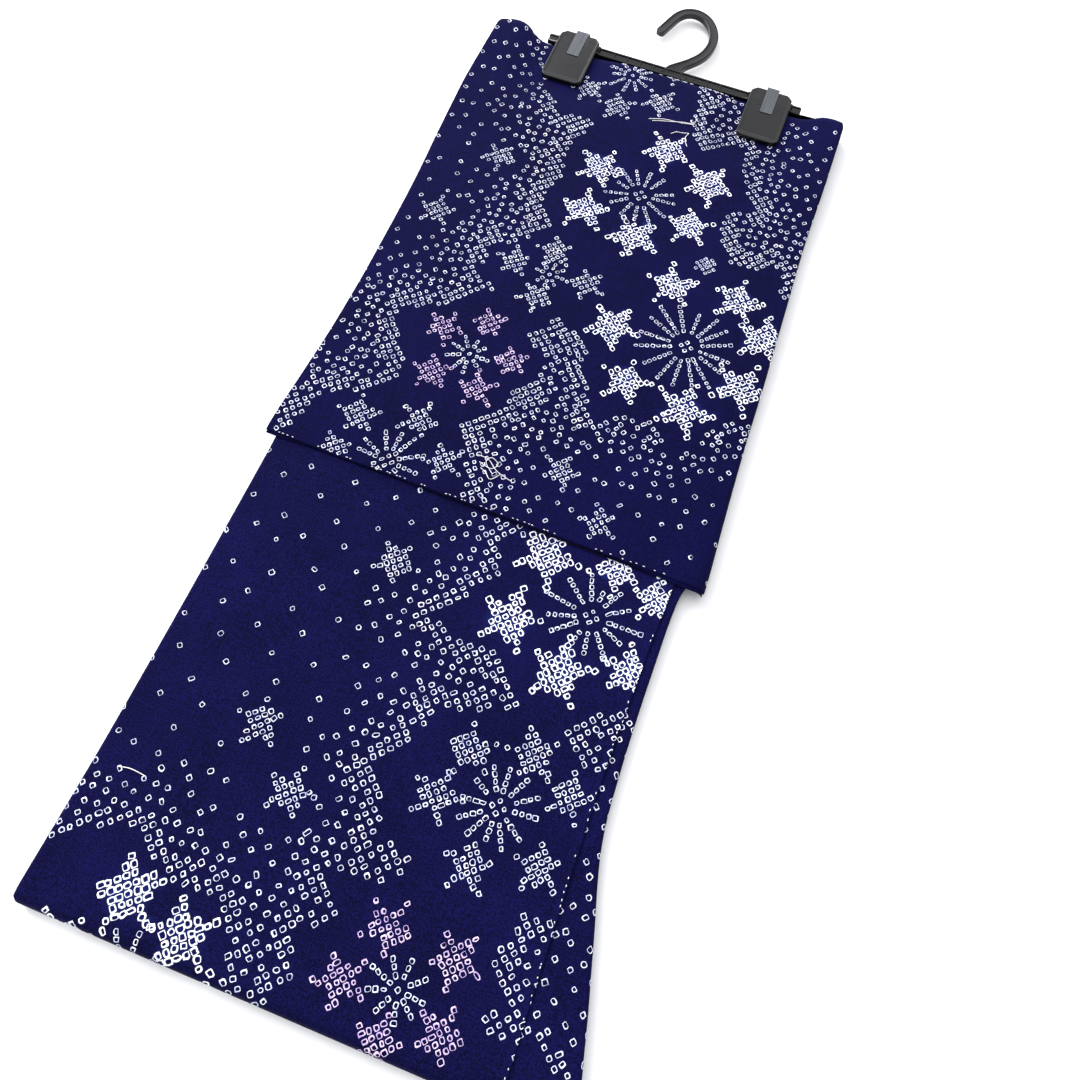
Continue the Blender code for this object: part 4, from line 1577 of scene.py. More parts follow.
CREEP_OF_TONE = {Tone.BRIGHT: 1.0, Tone.SOFT: 0.42, Tone.FAINT: 0.22, Tone.LILAC: 0.30}
CREEP_CELL = 4 * MM  # rings are counted in cells of this size,
CREEP_LOW = (-0.26, -0.03)  # from this place on the cloth,
CREEP_CELLS = (140, 440)  # in so many across and along
CREEP_THRESHOLD, CREEP_GAIN, CREEP_MOST = 0.30, 1.3, 0.6


def mark_dye_creep(cloth: Piece, rings: Array, places: Array) -> None:
    """Write how much dye crept between the rings to the cloth's points.

    Args:
        cloth: the sheet of cloth.
        rings: its rings.
        places: s and t of each of its points.
    """
    weights = np.array([CREEP_OF_TONE[tone] for tone in Tone])[rings[:, 6].astype(int)]
    grid = np.zeros(CREEP_CELLS)
    at = ((rings[:, :2] - CREEP_LOW) / CREEP_CELL).astype(int)
    good = ((at >= 0) & (at < CREEP_CELLS)).all(1)
    np.add.at(grid, tuple(at[good].T), weights[good])
    for axis in (0, 1):
        grid = (np.roll(grid, 1, axis) + 2 * grid + np.roll(grid, -1, axis)) / 4
    spot = ((places - CREEP_LOW) / CREEP_CELL).astype(int)
    spot = np.clip(spot, 0, np.array(CREEP_CELLS) - 1)
    creep = np.clip((grid[spot[:, 0], spot[:, 1]] - CREEP_THRESHOLD) * CREEP_GAIN, 0, CREEP_MOST)
    made = cloth.data.attributes.new(DYE_CREEP, "FLOAT", "POINT")
    made.data.foreach_set("value", creep.astype(np.float32))


# Plain patches, wreaths and single stars of each piece, by places on its own cloth.
SLEEVE_PLAIN = (
    PlainGround((
        (-118, -20), (-118, 20), (-86, 88), (-46, 90), (-60, 138), (-50, 160), (-58, 198), (-38, 214),
        (-62, 246), (-82, 258), (-78, 284), (-64, 298), (-90, 325), (-128, 348), (-98, 402),
        (-116, 424), (-150, 442), (-165, 500), (-10, 500), (-22, 452), (-44, 430), (-8, 402),
        (-14, 388), (2, 372), (2, 346), (-22, 332), (-2, 304), (36, 322), (34, 342), (56, 386),
        (78, 367), (102, 372), (126, 398), (140, 372), (160, 346), (190, 338), (190, 216), (168, 214),
        (160, 184), (134, 198), (116, 196), (102, 176), (98, 147), (122, 129), (98, 98), (95, 62),
        (84, 62), (58, 88), (40, 52), (34, -20))),
)
BACK_PLAIN = (
    PlainGround((
        (42, 440), (42, 496), (22, 502), (38, 528), (20, 547), (2, 576), (20, 588), (52, 586),
        (88, 613), (58, 628), (28, 634), (26, 656), (3, 690), (30, 712), (20, 730), (58, 727),
        (50, 744), (4, 758), (28, 778), (4, 796), (12, 816), (-4, 850), (20, 885), (30, 930),
        (-20, 975), (-30, 1060), (-110, 1090), (-125, 1170), (-40, 1200), (-20, 1320), (-160, 1340),
        (-165, 1450), (-10, 1440), (10, 1560), (165, 1560), (165, 1100), (135, 1070), (165, 1040),
        (165, 900), (140, 880), (156, 840), (152, 806), (126, 798), (146, 790), (122, 765), (132, 736),
        (170, 736), (170, 640), (140, 640), (118, 618), (130, 598), (170, 590), (170, 440))),
    PlainGround((
        (-190, 812), (-146, 782), (-120, 774), (-94, 796), (-70, 800), (-52, 794), (-30, 814),
        (-18, 860), (-40, 910), (-110, 930), (-190, 910))),
)
FRONT_PLAIN = (
    PlainGround((
        (150, 440), (150, 592), (180, 598), (200, 440))),
    PlainGround((
        (150, 812), (160, 800), (195, 815), (220, 860), (220, 1000), (150, 960))),
)

SLEEVE_SPACING = Spacing(5.65 * MM, 18 * MM, 40 * MM, 64 * MM, 92 * MM)
SLEEVE_FADING = (FadingGround(0.150, 0.462, 0.140, 44 * MM),
                 FadingGround(0.190, 0.220, 0.050, 16 * MM),
                 FadingGround(-0.135, 0.045, 0.085, 34 * MM))
FRONT_SPACING = Spacing(5.8 * MM, 6 * MM, 9 * MM, 300 * MM, 400 * MM)

FIVE_STARS = ((84, 34), (9, 34), (-57, 33), (-130, 34), (152, 33))
SIX_STARS = ((137, 41), (77, 41), (28, 46), (-169, 42), (-97, 41), (-33, 46))
SLEEVE_WREATHS = (
    StarWreath(0.0217, 0.1543, 13, 12, 33,
               ((83, 58), (33, 63), (-18, 54), (-80, 48), (-140, 53), (159, 46)),
               23.5, Tone.BRIGHT),
    StarWreath(0.1060, 0.2923, 16, 13, 43,
               ((118, 62), (65, 66), (28, 66), (-22, 57), (-76, 60), (-125, 62), (-177, 62)),
               24, Tone.BRIGHT),
    StarWreath(-0.0233, 0.2667, 8, 6.3, 15,
               ((98, 25), (6, 33), (-98, 26), (177, 33)), 16),
    StarWreath(-0.0560, 0.3657, 9, 6.8, 19,
               FIVE_STARS, 16, Tone.LILAC),
    StarWreath(-0.0783, 0.4783, 12, 9, 28,
               ((79, 42), (142, 46), (21, 43), (-171, 42)), 17),
    StarWreath(-0.0300, 0.0170, 11, 8, 23,
               ((-139, 46), (-92, 45), (-34, 43), (28, 44)), 18),
)
SLEEVE_STARS = (
    Star(-0.1110, 0.1600, 17 * MM, 10),
    Star(-0.1383, 0.2400, 18 * MM, 40),
    Star(0.0483, 0.4367, 16 * MM, 25),
    Star(0.0900, 0.4667, 15 * MM, 60),
    Star(0.0980, 0.2070, 9 * MM, 10, valley=0.9),
)
BACK_WREATHS = (
    StarWreath(0.1083, 0.5367, 13, 12, 36,
               ((145, 56), (82, 41, 0.86), (36, 50, 0.80), (-158, 59), (-100, 46),
                (-37, 47, 0.80)), 24, Tone.BRIGHT),
    StarWreath(0.0933, 0.6817, 12, 10, 27,
               SIX_STARS,
               18),
    StarWreath(0.0750, 0.8017, 9, 6.8, 21,
               ((124, 36), (47, 37), (-169, 36), (-22, 36), (-90, 30)), 17, Tone.LILAC),
    StarWreath(-0.0850, 0.8600, 12, 11, 34,
               ((111, 53), (60, 46), (172, 50), (8, 50), (-50, 49), (-118, 50)),
               24, Tone.BRIGHT),
    StarWreath(0.0900, 0.9900, 13, 12, 36,
               ((100, 52), (40, 55), (-20, 50), (-80, 53), (-145, 54), (160, 50)),
               24, Tone.BRIGHT),
    StarWreath(-0.0600, 1.1300, 9, 6.8, 20,
               FIVE_STARS, 17, Tone.LILAC),
    StarWreath(0.0700, 1.2600, 15, 13, 41,
               ((110, 60), (60, 62), (12, 59), (-38, 61), (-90, 58), (-140, 62), (165, 60)),
               24, Tone.BRIGHT),
    StarWreath(-0.0900, 1.3900, 12, 9, 27,
               ((79, 42), (142, 46), (21, 43), (-171, 42), (-40, 44), (-105, 42)),
               17),
    StarWreath(0.0800, 1.5100, 12, 10, 27,
               SIX_STARS,
               18),
)
BACK_STARS = (
    Star(-0.0393, 0.5483, 18 * MM, 15),
    Star(-0.0777, 0.6867, 17 * MM, 50),
    Star(-0.0383, 0.7217, 17 * MM, 30),
    Star(-0.1200, 1.0400, 17 * MM, 20),
    Star(-0.1100, 1.2500, 17 * MM, 65),
)
FRONT_WREATHS = tuple(StarWreath(s, t, 12, 10, 30, ((150, 44), (110, 42), (70, 45)), 18)
                      for s, t in ((0.2150, 0.8900), (0.2600, 1.2000)))


@dataclass(frozen=True)
class Cloth:
    """One visible piece of the robe: its sheet and its rings."""

    sheet: ClothSheet
    finish: Finish
    slot: str
    plain: tuple[PlainGround, ...]
    wreaths: tuple[StarWreath, ...]
    stars: tuple[Star, ...]
    seed: int
    hidden: Pair = (0.0, 0.0)  # t between which other cloth covers it
    spacing: Spacing = Spacing()
    fading: tuple[FadingGround, ...] = ()
    ring_scale: float = 1.0  # size of its rings against the usual one
    shown_rim: float = 8 * MM  # its edge that still shows there

    def tied_rings(self) -> Array:
        """All rings on this piece.

        Returns:
            The rings, one a row, in the order of Rings.COLUMNS.
        """
        rings = Rings(self.seed)
        for wreath in self.wreaths:
            wreath.tie(rings)
        for star in self.stars:
            star.tie(rings)
        low, high = self.sheet.lay.edges(np.linspace(self.sheet.start, self.sheet.end, 60))
        GroundRings(float(low.min()), float(high.max()), self.sheet.start, self.sheet.end,
                    self.spacing, self.fading).tie(rings, self.plain, self.stars)
        table = rings.table()
        table[:, [Rings.COLUMNS.index(name) for name in ("half_u", "half_v", "line")]] *= (
            self.ring_scale)
        left, right = self.sheet.lay.edges(table[:, 1])
        covered = ((table[:, 1] > self.hidden[0]) & (table[:, 1] < self.hidden[1])
                   & (table[:, 0] > left + self.shown_rim) & (table[:, 0] < right - self.shown_rim))
        return table[~covered]

    def build(self) -> tuple[Piece, Piece]:
        """Make the cloth and its rings.

        Returns:
            The sheet of cloth and the piece of rings.
        """
        cloth = self.sheet.build(self.finish, self.slot)
        rings = self.tied_rings()
        lines = RingLines().build(self.sheet.name + "_rings", rings, self.sheet.lay,
                                  self.sheet.depth, (self.sheet.start, self.sheet.end), self.slot)
        places = [(s, t) for t, squeeze in self.sheet.stations()
                  for s in self.sheet.outline(t, squeeze)[0]]
        mark_dye_creep(cloth, rings, np.array(places))
        return cloth, lines


# The robe
@dataclass
class Robe:
    """The folded robe: visible cloths and the folded-in layers."""

    ply: float = 1.05 * MM              # one ply of the sleeve
    sleeve_tuck: float = 1.0 * MM
    panel_ply: float = 0.62 * MM        # outer ply of the body
    covered: Pair = (-0.02, 0.476)   # t between which the sleeve covers the body
    hidden_plies: int = 4
    hidden_hem: float = 14 * MM         # run of the outermost hidden ply's end,
    hidden_step: float = 3 * MM         # and how much earlier each one within it ends

    def build(self) -> list[Piece]:
        """Every piece of cloth."""
        return self.build_body() + self.build_hidden_layers() + self.build_sleeve()

    def build_sleeve(self) -> list[Piece]:
        """The sleeve's two plies, and the rings on the upper one.

        Returns:
            The upper ply, its rings and the lower ply.
        """
        lay = SleeveLay(tuck=self.sleeve_tuck)
        upper = ClothSheet("sleeve_upper_ply", lay, -5 * MM, PACKET.sleeve_drop, self.ply,
                           step=4.5 * MM, columns=74, roll_columns=(0, 18), roll_width=(0.0, 0.030))
        cloth, rings = Cloth(upper, SLEEVE_COTTON, "cotton_sleeve", SLEEVE_PLAIN, SLEEVE_WREATHS,
                             SLEEVE_STARS, seed=11, spacing=SLEEVE_SPACING,
                             fading=SLEEVE_FADING, ring_scale=0.94).build()
        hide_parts("sleeve_left")

        def inset(t: Array) -> Arrays:
            """How far the lower ply's sides lie in from the upper one's."""
            return (0.7 * MM * np.sin(t * 29 + 0.5) - 0.2 * MM, 1.2 * MM + 0.4 * MM * np.sin(t * 17))

        def longer(s: Array) -> Array:
            """How far the lower ply's lower edge peeps out."""
            return (0.3 * MM + 2.6 * MM * smooth(s, 0.11, 0.17)
                    + 1.6 * MM * (1 - smooth(s, -0.168, -0.135)))

        lower = ClothSheet("sleeve_lower_ply", lay, -4 * MM, PACKET.sleeve_drop, self.ply,
                           depth=self.ply + 0.1 * MM, step=8 * MM, columns=50,
                           roll_columns=(0, 8), roll_width=(0.0, 0.035), inset=inset, stretch=longer)
        inner = lower.build(SLEEVE_COTTON, "cotton_sleeve")
        return [cloth, rings, inner]

    def build_body(self) -> list[Piece]:
        """The back panel and the edge of the front panel, with their rings.

        Returns:
            Each panel with its rings after it.
        """
        back_lay = BodyLay()
        end = PACKET.fold_run + back_lay.fold_turn() + PACKET.fold_run - PACKET.hem_run
        back = ClothSheet("back_panel", back_lay, 1 * MM, end, self.panel_ply, step=5.5 * MM,
                          columns=64, roll_columns=(6, 12), roll_width=(0.017, 0.034))
        cloth, rings = Cloth(back, BACK_COTTON, "cotton_back", BACK_PLAIN, BACK_WREATHS,
                             BACK_STARS, seed=23, hidden=self.covered).build()
        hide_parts("body_back_left")
        front = ClothSheet("front_panel_edge", BodyLay(panel=Panel.FRONT), 1 * MM, end, self.panel_ply,
                           depth=PACKET.strip_step, step=5.5 * MM, columns=10,
                           roll_columns=(0, 6), roll_width=(0.0, 0.2))
        strip, strip_rings = Cloth(front, FRONT_COTTON, "cotton_front", FRONT_PLAIN,
                                   FRONT_WREATHS, (), seed=31, hidden=self.covered,
                                   spacing=FRONT_SPACING).build()
        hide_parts("body_front_left")
        return [cloth, rings, strip, strip_rings]

    def build_hidden_layers(self) -> list[Piece]:
        """The folded-in plies, one within another round the half-length fold.

        Returns:
            The plies, from the outermost to the innermost.
        """
        lay = BodyLay(panel=Panel.INNER)
        core = PACKET.panel_wall + PACKET.gap
        room = PACKET.fold_radius - core
        wall = room / (self.hidden_plies + 0.35)    # which leaves a hollow round the fold's middle
        plies = []
        for ply in range(self.hidden_plies):
            depth = core + ply * wall
            end = (PACKET.fold_run + lay.fold_turn() + PACKET.fold_run - self.hidden_hem
                   - self.hidden_step * ply)

            def inset(t: Array, ply: int = ply) -> Arrays:
                """How far the ply's sides lie in: each strays in its own way.

                Args:
                    t: places along the ply.
                    ply: its number.

                Returns:
                    The distances at the left and right side.
                """
                sway = np.sin(t * (13 + 4 * ply) + 1.7 * ply)
                other = np.sin(t * (17 - 3 * ply) + 2.9 * ply)
                return ((2.2 + 0.9 * sway + 0.5 * (ply % 2)) * MM,
                        (2.3 + 1.0 * other + 0.7 * ((ply + 1) % 2)) * MM)

            sheet = ClothSheet(f"folded_layer_{ply + 1}", lay, 10 * MM, end, wall - 0.05 * MM,
                               depth=depth, step=7 * MM, columns=16, inset=inset)
            made = sheet.build(LAYER_COTTON, "cotton_layers")
            if ply == 0:
                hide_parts("folded_layers")
            plies.append(made)
        return plies


# The hanger
UPWARD = np.array([0.0, 0.0, 1.0])


def eased_route(points: Array, steps: int) -> Array:
    """A smooth curve through points.

    Args:
        points: the points, one a row.
        steps: how many stretches the curve is drawn in.

    Returns:
        Its points, spread evenly by parameter.
    """
    last = len(points) - 1
    slopes = np.array([(points[min(at + 1, last)] - points[max(at - 1, 0)]) / 2
                       for at in range(last + 1)])
    place = np.linspace(0, last, steps + 1)
    index = np.minimum(place.astype(int), last - 1)
    return cubic((place - index)[:, None], (points[index], points[index + 1]),
                 (slopes[index], slopes[index + 1]))


def directions(route: Array) -> Array:
    """Direction of a route at each of its points, one long."""
    ahead = np.gradient(route, axis=0)
    return ahead / np.linalg.norm(ahead, axis=1)[:, None]


def sweep(route: Array, sections: Sequence[Array]) -> Array:
    """Points of sections swept along a level route.

    Args:
        route: the route's points.
        sections: for each point, pairs of sideways and upward offsets.

    Returns:
        The points, section after section.
    """
    sideways = np.cross(UPWARD, directions(route))
    return np.concatenate([point + section[:, :1] * side + section[:, 1:] * UPWARD
                           for point, side, section in zip(route, sideways, sections)])


@dataclass(frozen=True)
class RibbedSection:
    """A flat moulded bar's section: rounded rims with a channel between them on each face."""

    half_width: float
    half_thickness: float
    channel: float
    rim: float
    corner: float = 0.55 * MM
    corner_steps: int = 4

    def outline(self, width: float = 1.0, thickness: float = 1.0, rib: float = 0.0) -> Array:
        """The section's outline.

        Args:
            width: share of the usual width.
            thickness: share of the usual thickness.
            rib: how far the channel is filled here, from 0 to 1.

        Returns:
            Pairs of sideways and upward offsets, anticlockwise.
        """
        side, face = self.half_width * width, self.half_thickness * thickness
        corner = min(self.corner, side * 0.9, face * 0.9)
        angles = np.linspace(0, math.pi / 2, self.corner_steps)
        arc = np.stack([side - corner + corner * np.cos(angles),
                        face - corner + corner * np.sin(angles)], 1)
        inner = max(side - self.rim, 0.3 * side)
        floor = face - self.channel * thickness * (1 - rib)
        soft = 0.3 * MM
        channel = np.array([[inner, face], [inner - 0.4 * soft, face - 0.3 * (face - floor)],
                            [inner - soft, floor + 0.1 * (face - floor)], [inner - 1.8 * soft, floor]])
        quarter = np.concatenate([arc, channel])
        top = np.concatenate([quarter, quarter[::-1] * [-1, 1]])
        return np.concatenate([top, -top])


@dataclass
class Hanger:
    """The bar with its hook, moulded in black polystyrene."""

    bar_length: float = 0.256
    bar_low: float = 0.0015  # of the bar's lower side past the shoulder line
    bar: RibbedSection = RibbedSection(5.0 * MM, 3.5 * MM, 1.4 * MM, 1.8 * MM)
    pad_half: float = 0.021  # of the thicker pad in each clip,
    pad_ramp: float = 0.0015  # of its slopes,
    pad_fill: float = 0.8  # and the share of the channel that it fills
    rib_spacing: float = 0.0135  # of the cross ribs in the channel
    rib_half: float = 0.7 * MM
    rib_clear: float = 4 * MM  # between a pad and a rib
    rib_height: float = 0.7  # share of the channel's depth
    end_round: float = 0.9 * MM
    end_taper: float = 0.22  # share of the section that the very end loses
    hook: RibbedSection = RibbedSection(4.5 * MM, 2.5 * MM, 0.7 * MM, 1.6 * MM, 0.7 * MM)
    hook_route: tuple[Pair, ...] = (  # across from the middle, and past the shoulder line
        (0.0000, 0.0040), (0.0000, 0.0130), (0.0048, 0.0220), (0.0122, 0.0310),
        (0.0190, 0.0410), (0.0230, 0.0520), (0.0242, 0.0640), (0.0220, 0.0760),
        (0.0164, 0.0870), (0.0084, 0.0950), (-0.0016, 0.0985), (-0.0110, 0.0962),
        (-0.0180, 0.0892), (-0.0222, 0.0795), (-0.0254, 0.0700), (-0.0286, 0.0607))
    hook_steps: int = 160
    neck_share: float = 0.19  # share of the route that the neck takes
    neck_width: float = 0.030  # at the bar
    neck_taper: float = 2.5  # a higher power narrows sooner
    channel_places: tuple[int, ...] = (5, 6, 7, 8, 9)  # sides of the hook's section
    hook_tip: float = 4.2 * MM  # length of the rounded tip,
    tip_stations: tuple[float, ...] = (0.2, 0.42, 0.62, 0.78, 0.90, 0.97, 1.0)  # by share of it

    @property
    def middle_z(self) -> float:
        """Height of the bar's and the hook's middle."""
        return PACKET.jaw_lift + PACKET.grip_thickness / 2

    def route(self) -> Array:
        """Middle line of the neck and the hook.

        Returns:
            Its points, from the bar to the tip.
        """
        points = np.array([(PACKET.hanger_x + x, PACKET.shoulder_y + y, self.middle_z)
                           for x, y in self.hook_route])
        return eased_route(points, self.hook_steps)

    def build(self) -> list[Piece]:
        """Make the bar, the neck and the hook.

        Returns:
            The bar with its neck, and the hook.
        """
        bar_points, bar_faces = self.bar_mesh()
        neck_points, neck_faces = self.neck_mesh(len(bar_points))
        bar = piece_from("hanger_bar_moulding", np.concatenate([bar_points, neck_points]),
                         bar_faces + neck_faces, [BAR_PLASTIC], "hanger_plastic", smooth_angle=38)
        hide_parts("hanger_bar")
        hook_points, hook_faces, in_channel = self.hook_mesh()
        # faces in the channel get the lighter plastic, which paints a highlight along it
        hook = piece_from("hanger_hook_moulding", hook_points, hook_faces,
                          [HOOK_PLASTIC, PAINTED_HIGHLIGHT_CHANNEL_PLASTIC], "hanger_plastic", in_channel, smooth_angle=38)
        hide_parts("hanger_hook")
        return [bar, hook]

    def bar_mesh(self) -> tuple[Array, Faces]:
        """The bar, with a thicker pad at each clip and cross ribs in its channel.

        Returns:
            Its points and faces.
        """
        half = self.bar_length / 2
        left, right = PACKET.hanger_x - half, PACKET.hanger_x + half
        centres = np.array(PACKET.clip_centres)
        marks = [left, left + 0.25 * MM, left + self.end_round, right - self.end_round,
                 right - 0.25 * MM, right]
        for centre in centres:
            marks += [centre + sign * (self.pad_half + ramp) for sign in (-1, 1)
                      for ramp in (0.0, self.pad_ramp / 2, self.pad_ramp)]
        ribs = np.arange(left + self.rib_spacing, right, self.rib_spacing)
        ribs = ribs[np.abs(ribs[:, None] - centres).min(1) > self.pad_half + self.rib_clear]
        for rib in ribs:
            marks += [rib + off * self.rib_half for off in (-1.5, -1.0, 1.0, 1.5)]
        rows, sections = [], []
        y = PACKET.shoulder_y + self.bar_low + self.bar.half_width
        swell = PACKET.grip_thickness / 2 / self.bar.half_thickness
        for x in sorted(marks):
            end = min(x - left, right - x)
            shrink = 1 - self.end_taper * (1 - min(end / self.end_round, 1.0)) ** 2
            near = np.abs(x - centres).min()
            pad = 1 - float(smooth(near, self.pad_half, self.pad_half + self.pad_ramp))
            on_rib = self.rib_height * bool(len(ribs) and np.abs(ribs - x).min() < 1.2 * self.rib_half)
            thick = (1 + (swell - 1) * pad) * shrink
            sections.append(self.bar.outline(shrink, thick, max(on_rib, self.pad_fill * pad)))
            rows.append((x, y, self.middle_z))
        points = sweep(np.array(rows), sections)
        return points, skin(len(rows), len(sections[0]))

    def neck_mesh(self, first: int) -> tuple[Array, Faces]:
        """The neck, which widens into the bar.

        Args:
            first: number of its first point.

        Returns:
            Its points and faces.
        """
        steps = int(self.neck_share * self.hook_steps)
        route = self.route()[:steps]
        sections = []
        for share in np.linspace(0, 1, steps):      # from the bar's thickness to the hook's
            half = (self.hook.half_width + (self.neck_width / 2 - self.hook.half_width)
                    * (1 - share) ** self.neck_taper)
            thick = self.bar.half_thickness - 0.2 * MM
            thick += (self.hook.half_thickness + 0.03 * MM - thick) * float(smooth(share, 0.3, 1))
            neck = RibbedSection(half, thick, self.hook.channel, self.hook.rim, self.hook.corner)
            sections.append(neck.outline())
        points = sweep(route, sections)
        return points, skin(steps, len(sections[0]), first=first)

    def hook_mesh(self) -> tuple[Array, Faces, list[int]]:
        """The hook, from the neck to its rounded tip, and which faces lie in its channel.

        Returns:
            Its points, its faces, and for each face 1 if it lies in the channel.
        """
        route = self.route()[int(self.neck_share * self.hook_steps) - 1:]
        ahead = route[-1] - route[-2]
        ahead /= np.linalg.norm(ahead)
        reach = np.array(self.tip_stations)
        route = np.concatenate([route, route[-1] + self.hook_tip * reach[:, None] * ahead])
        widths = np.ones(len(route))
        widths[-len(reach):] = np.sqrt(1 - (reach * 0.97) ** 2)
        sections = []
        for at, width in enumerate(widths):     # the channel runs out before the tip
            filled = min(1.0, max(0.0, (at - (len(route) - 14)) / 5))
            sections.append(self.hook.outline(width, 0.45 + 0.55 * width, filled))
        points = sweep(route, sections)
        around = len(sections[0])
        in_channel = [int(place % (around // 2) in self.channel_places)
                      for _row in route[1:] for place in range(around)]
        return points, skin(len(route), around), in_channel + [0, 0]


@dataclass
class Clip:
    """A clip: two moulded jaws that a spring of steel closes."""

    name: str
    centre: float
    width: float = 0.040
    thickness: float = 3.0 * MM
    tail: float = 0.016  # how far it goes past the shoulder line
    corner: float = 0.007  # radius at the gripping end
    tail_taper: float = 0.004  # how much narrower the tail is on each side
    tail_corner: float = 0.0025
    lip: float = 1.0 * MM  # raised end of the front jaw,
    lip_start: float = 0.0065  # this far from the end at its foot,
    lip_full: float = 0.0035  # and this far where it is full
    rounding: float = 0.8 * MM  # of the outer face's rim
    inner_rounding: float = 0.4 * MM
    rim: float = 0.35 * MM  # raised border of the front jaw's face
    recess_half: float = 6.3 * MM  # of the recess that the spring lies in
    recess_run: float = 14.6 * MM
    recess_depth: float = 1.2 * MM
    ridge_pitch: float = 2.6 * MM  # of the finger ridges on the tail
    ridge_height: float = 0.30 * MM

    def build(self) -> list[Piece]:
        """Make both jaws, and dress the spring.

        Returns:
            The front and the back jaw.
        """
        jaws = []
        front_low = PACKET.jaw_lift + PACKET.grip_thickness + PACKET.gap
        for word, low, front in (("front", front_low, True), ("back", 0.0, False)):
            points, faces = self.jaw_mesh(low, front)
            jaw = piece_from(f"clip_{word}_jaw_{self.name}", points, faces, [CLIP_PLASTIC],
                             "clip_plastic", smooth_angle=38)
            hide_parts(f"clip_{word}_{self.name}")
            jaws.append(jaw)
        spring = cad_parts[f"clip_spring_{self.name}"]
        spring.material_slots[0].material = BluedSpringSteel().material()
        return jaws

    def half_width(self, run: Array) -> Array:
        """Half of the jaw's width at a run, with its rounded corners.

        Args:
            run: places along the jaw.

        Returns:
            The half width at each place.
        """
        half = self.width / 2 - round_off(run - (PACKET.jaw_reach - self.corner), self.corner)
        half -= self.tail_taper * (1 - smooth(run, -self.tail, -self.tail + 0.006))
        return half - round_off(-self.tail + self.tail_corner - run, self.tail_corner)

    def face_height(self, across: Array, run: Array, half: Array, front: bool) -> Array:
        """How far the jaw's outer face stands above its plain level.

        Args:
            across, run: places on the jaw.
            half: half of its width there.
            front: whether it is the front jaw.

        Returns:
            The height at each place, which is below 0 in hollows.
        """
        beside = half - np.abs(across)
        above = np.minimum(run + self.tail, PACKET.jaw_reach - run)
        border = np.minimum(beside, above)
        rise = -round_off(self.rounding - border, self.rounding)
        in_recess = (1 - smooth(np.abs(across), self.recess_half - 0.3 * MM, self.recess_half + 0.1 * MM))
        in_recess = in_recess * (1 - smooth(run, self.recess_run - 0.3 * MM, self.recess_run + 0.3 * MM))
        rise = rise - (self.recess_depth + np.minimum(rise, 0)) * in_recess
        if front:
            inner = smooth(border, 1.8 * MM, 2.6 * MM)
            rise = rise - self.rim * inner * (1 - in_recess)
            rise = rise + self.lip * smooth(run, PACKET.jaw_reach - self.lip_start,
                                            PACKET.jaw_reach - self.lip_full)
        ridged = inner_zone(run, -self.tail + 0.0025, -0.0015) * (1 - in_recess)
        ridge = np.maximum(np.sin((run + self.tail) * 2 * math.pi / self.ridge_pitch), 0)
        fade = smooth(np.abs(across), self.recess_half + 1.0 * MM, self.recess_half + 1.8 * MM)
        return rise + self.ridge_height * ridge * ridged * fade * smooth(beside, 1.6 * MM, 2.4 * MM)

    def jaw_mesh(self, low: float, front: bool) -> tuple[Array, Faces]:
        """Points and faces of a jaw, whose outer face is on top at the front, below at the back.

        Args:
            low: height of the jaw's lower side.
            front: whether it is the front jaw.

        Returns:
            Its points and faces.
        """
        recess = self.recess_half       # columns and rows stand close at the recess and at the rim
        rest = self.width / 2
        side = [0.0, 2.5 * MM, 5.0 * MM, recess - 0.3 * MM, recess - 0.1 * MM,
                recess + 0.1 * MM, recess + 1.0 * MM, recess + 1.8 * MM, 10 * MM, 13 * MM, 16 * MM,
                rest - 2.7 * MM, rest - 2.2 * MM, rest - 1.7 * MM, rest - 0.8 * MM,
                rest - 0.45 * MM, rest - 0.2 * MM, rest - 0.05 * MM, rest]
        side = np.array(side)
        across = np.concatenate([-side[:0:-1], side])
        reach = PACKET.jaw_reach
        runs = np.concatenate([
            -self.tail + np.array([0, 0.08, 0.25, 0.5, 0.8, 1.3, 1.8, 2.3]) * MM,
            np.arange(-self.tail + 2.65 * MM, -0.5 * MM, self.ridge_pitch / 8),
            [2 * MM, 6 * MM, 10 * MM, self.recess_run - 0.8 * MM, self.recess_run - 0.3 * MM,
             self.recess_run, self.recess_run + 0.3 * MM, self.recess_run + 1.5 * MM],
            np.arange(20 * MM, reach - 9 * MM, 5 * MM),
            np.arange(reach - 8 * MM, reach - 0.9 * MM, 0.7 * MM),
            reach - np.array([0.8, 0.5, 0.25, 0.08, 0.0]) * MM])
        keep = 9 * MM       # columns up to here keep their place where the jaw is narrower
        loops = []
        for run in runs:
            half = float(self.half_width(np.array(run)))
            spread = np.abs(across)
            x = np.where(spread > keep, keep + (spread - keep) * (half - keep) / (rest - keep),
                         spread) * np.sign(across)
            runs_row = np.full_like(x, run)
            face = self.face_height(x, runs_row, np.full_like(x, half), front)
            flat = np.minimum(np.minimum(half - np.abs(x), run + self.tail), reach - run)
            inside = round_off(self.inner_rounding - flat, self.inner_rounding)
            if front:
                top, bottom = low + self.thickness + face, low + inside
            else:
                top, bottom = low + self.thickness - inside, np.maximum(low - face, 0.0)
            y = PACKET.shoulder_y - runs_row
            upper = np.stack([self.centre + x, y, top], 1)
            lower = np.stack([self.centre + x, y, bottom], 1)[::-1]
            loops.append(np.concatenate([upper, lower]))
        return np.concatenate(loops), skin(len(runs), len(loops[0]))


def inner_zone(value: Array, low: float, high: float) -> Array:
    """1 between two places and 0 outside them, with soft ends."""
    soft = 0.3 * MM
    return smooth(value, low, low + soft) * (1 - smooth(value, high - soft, high))


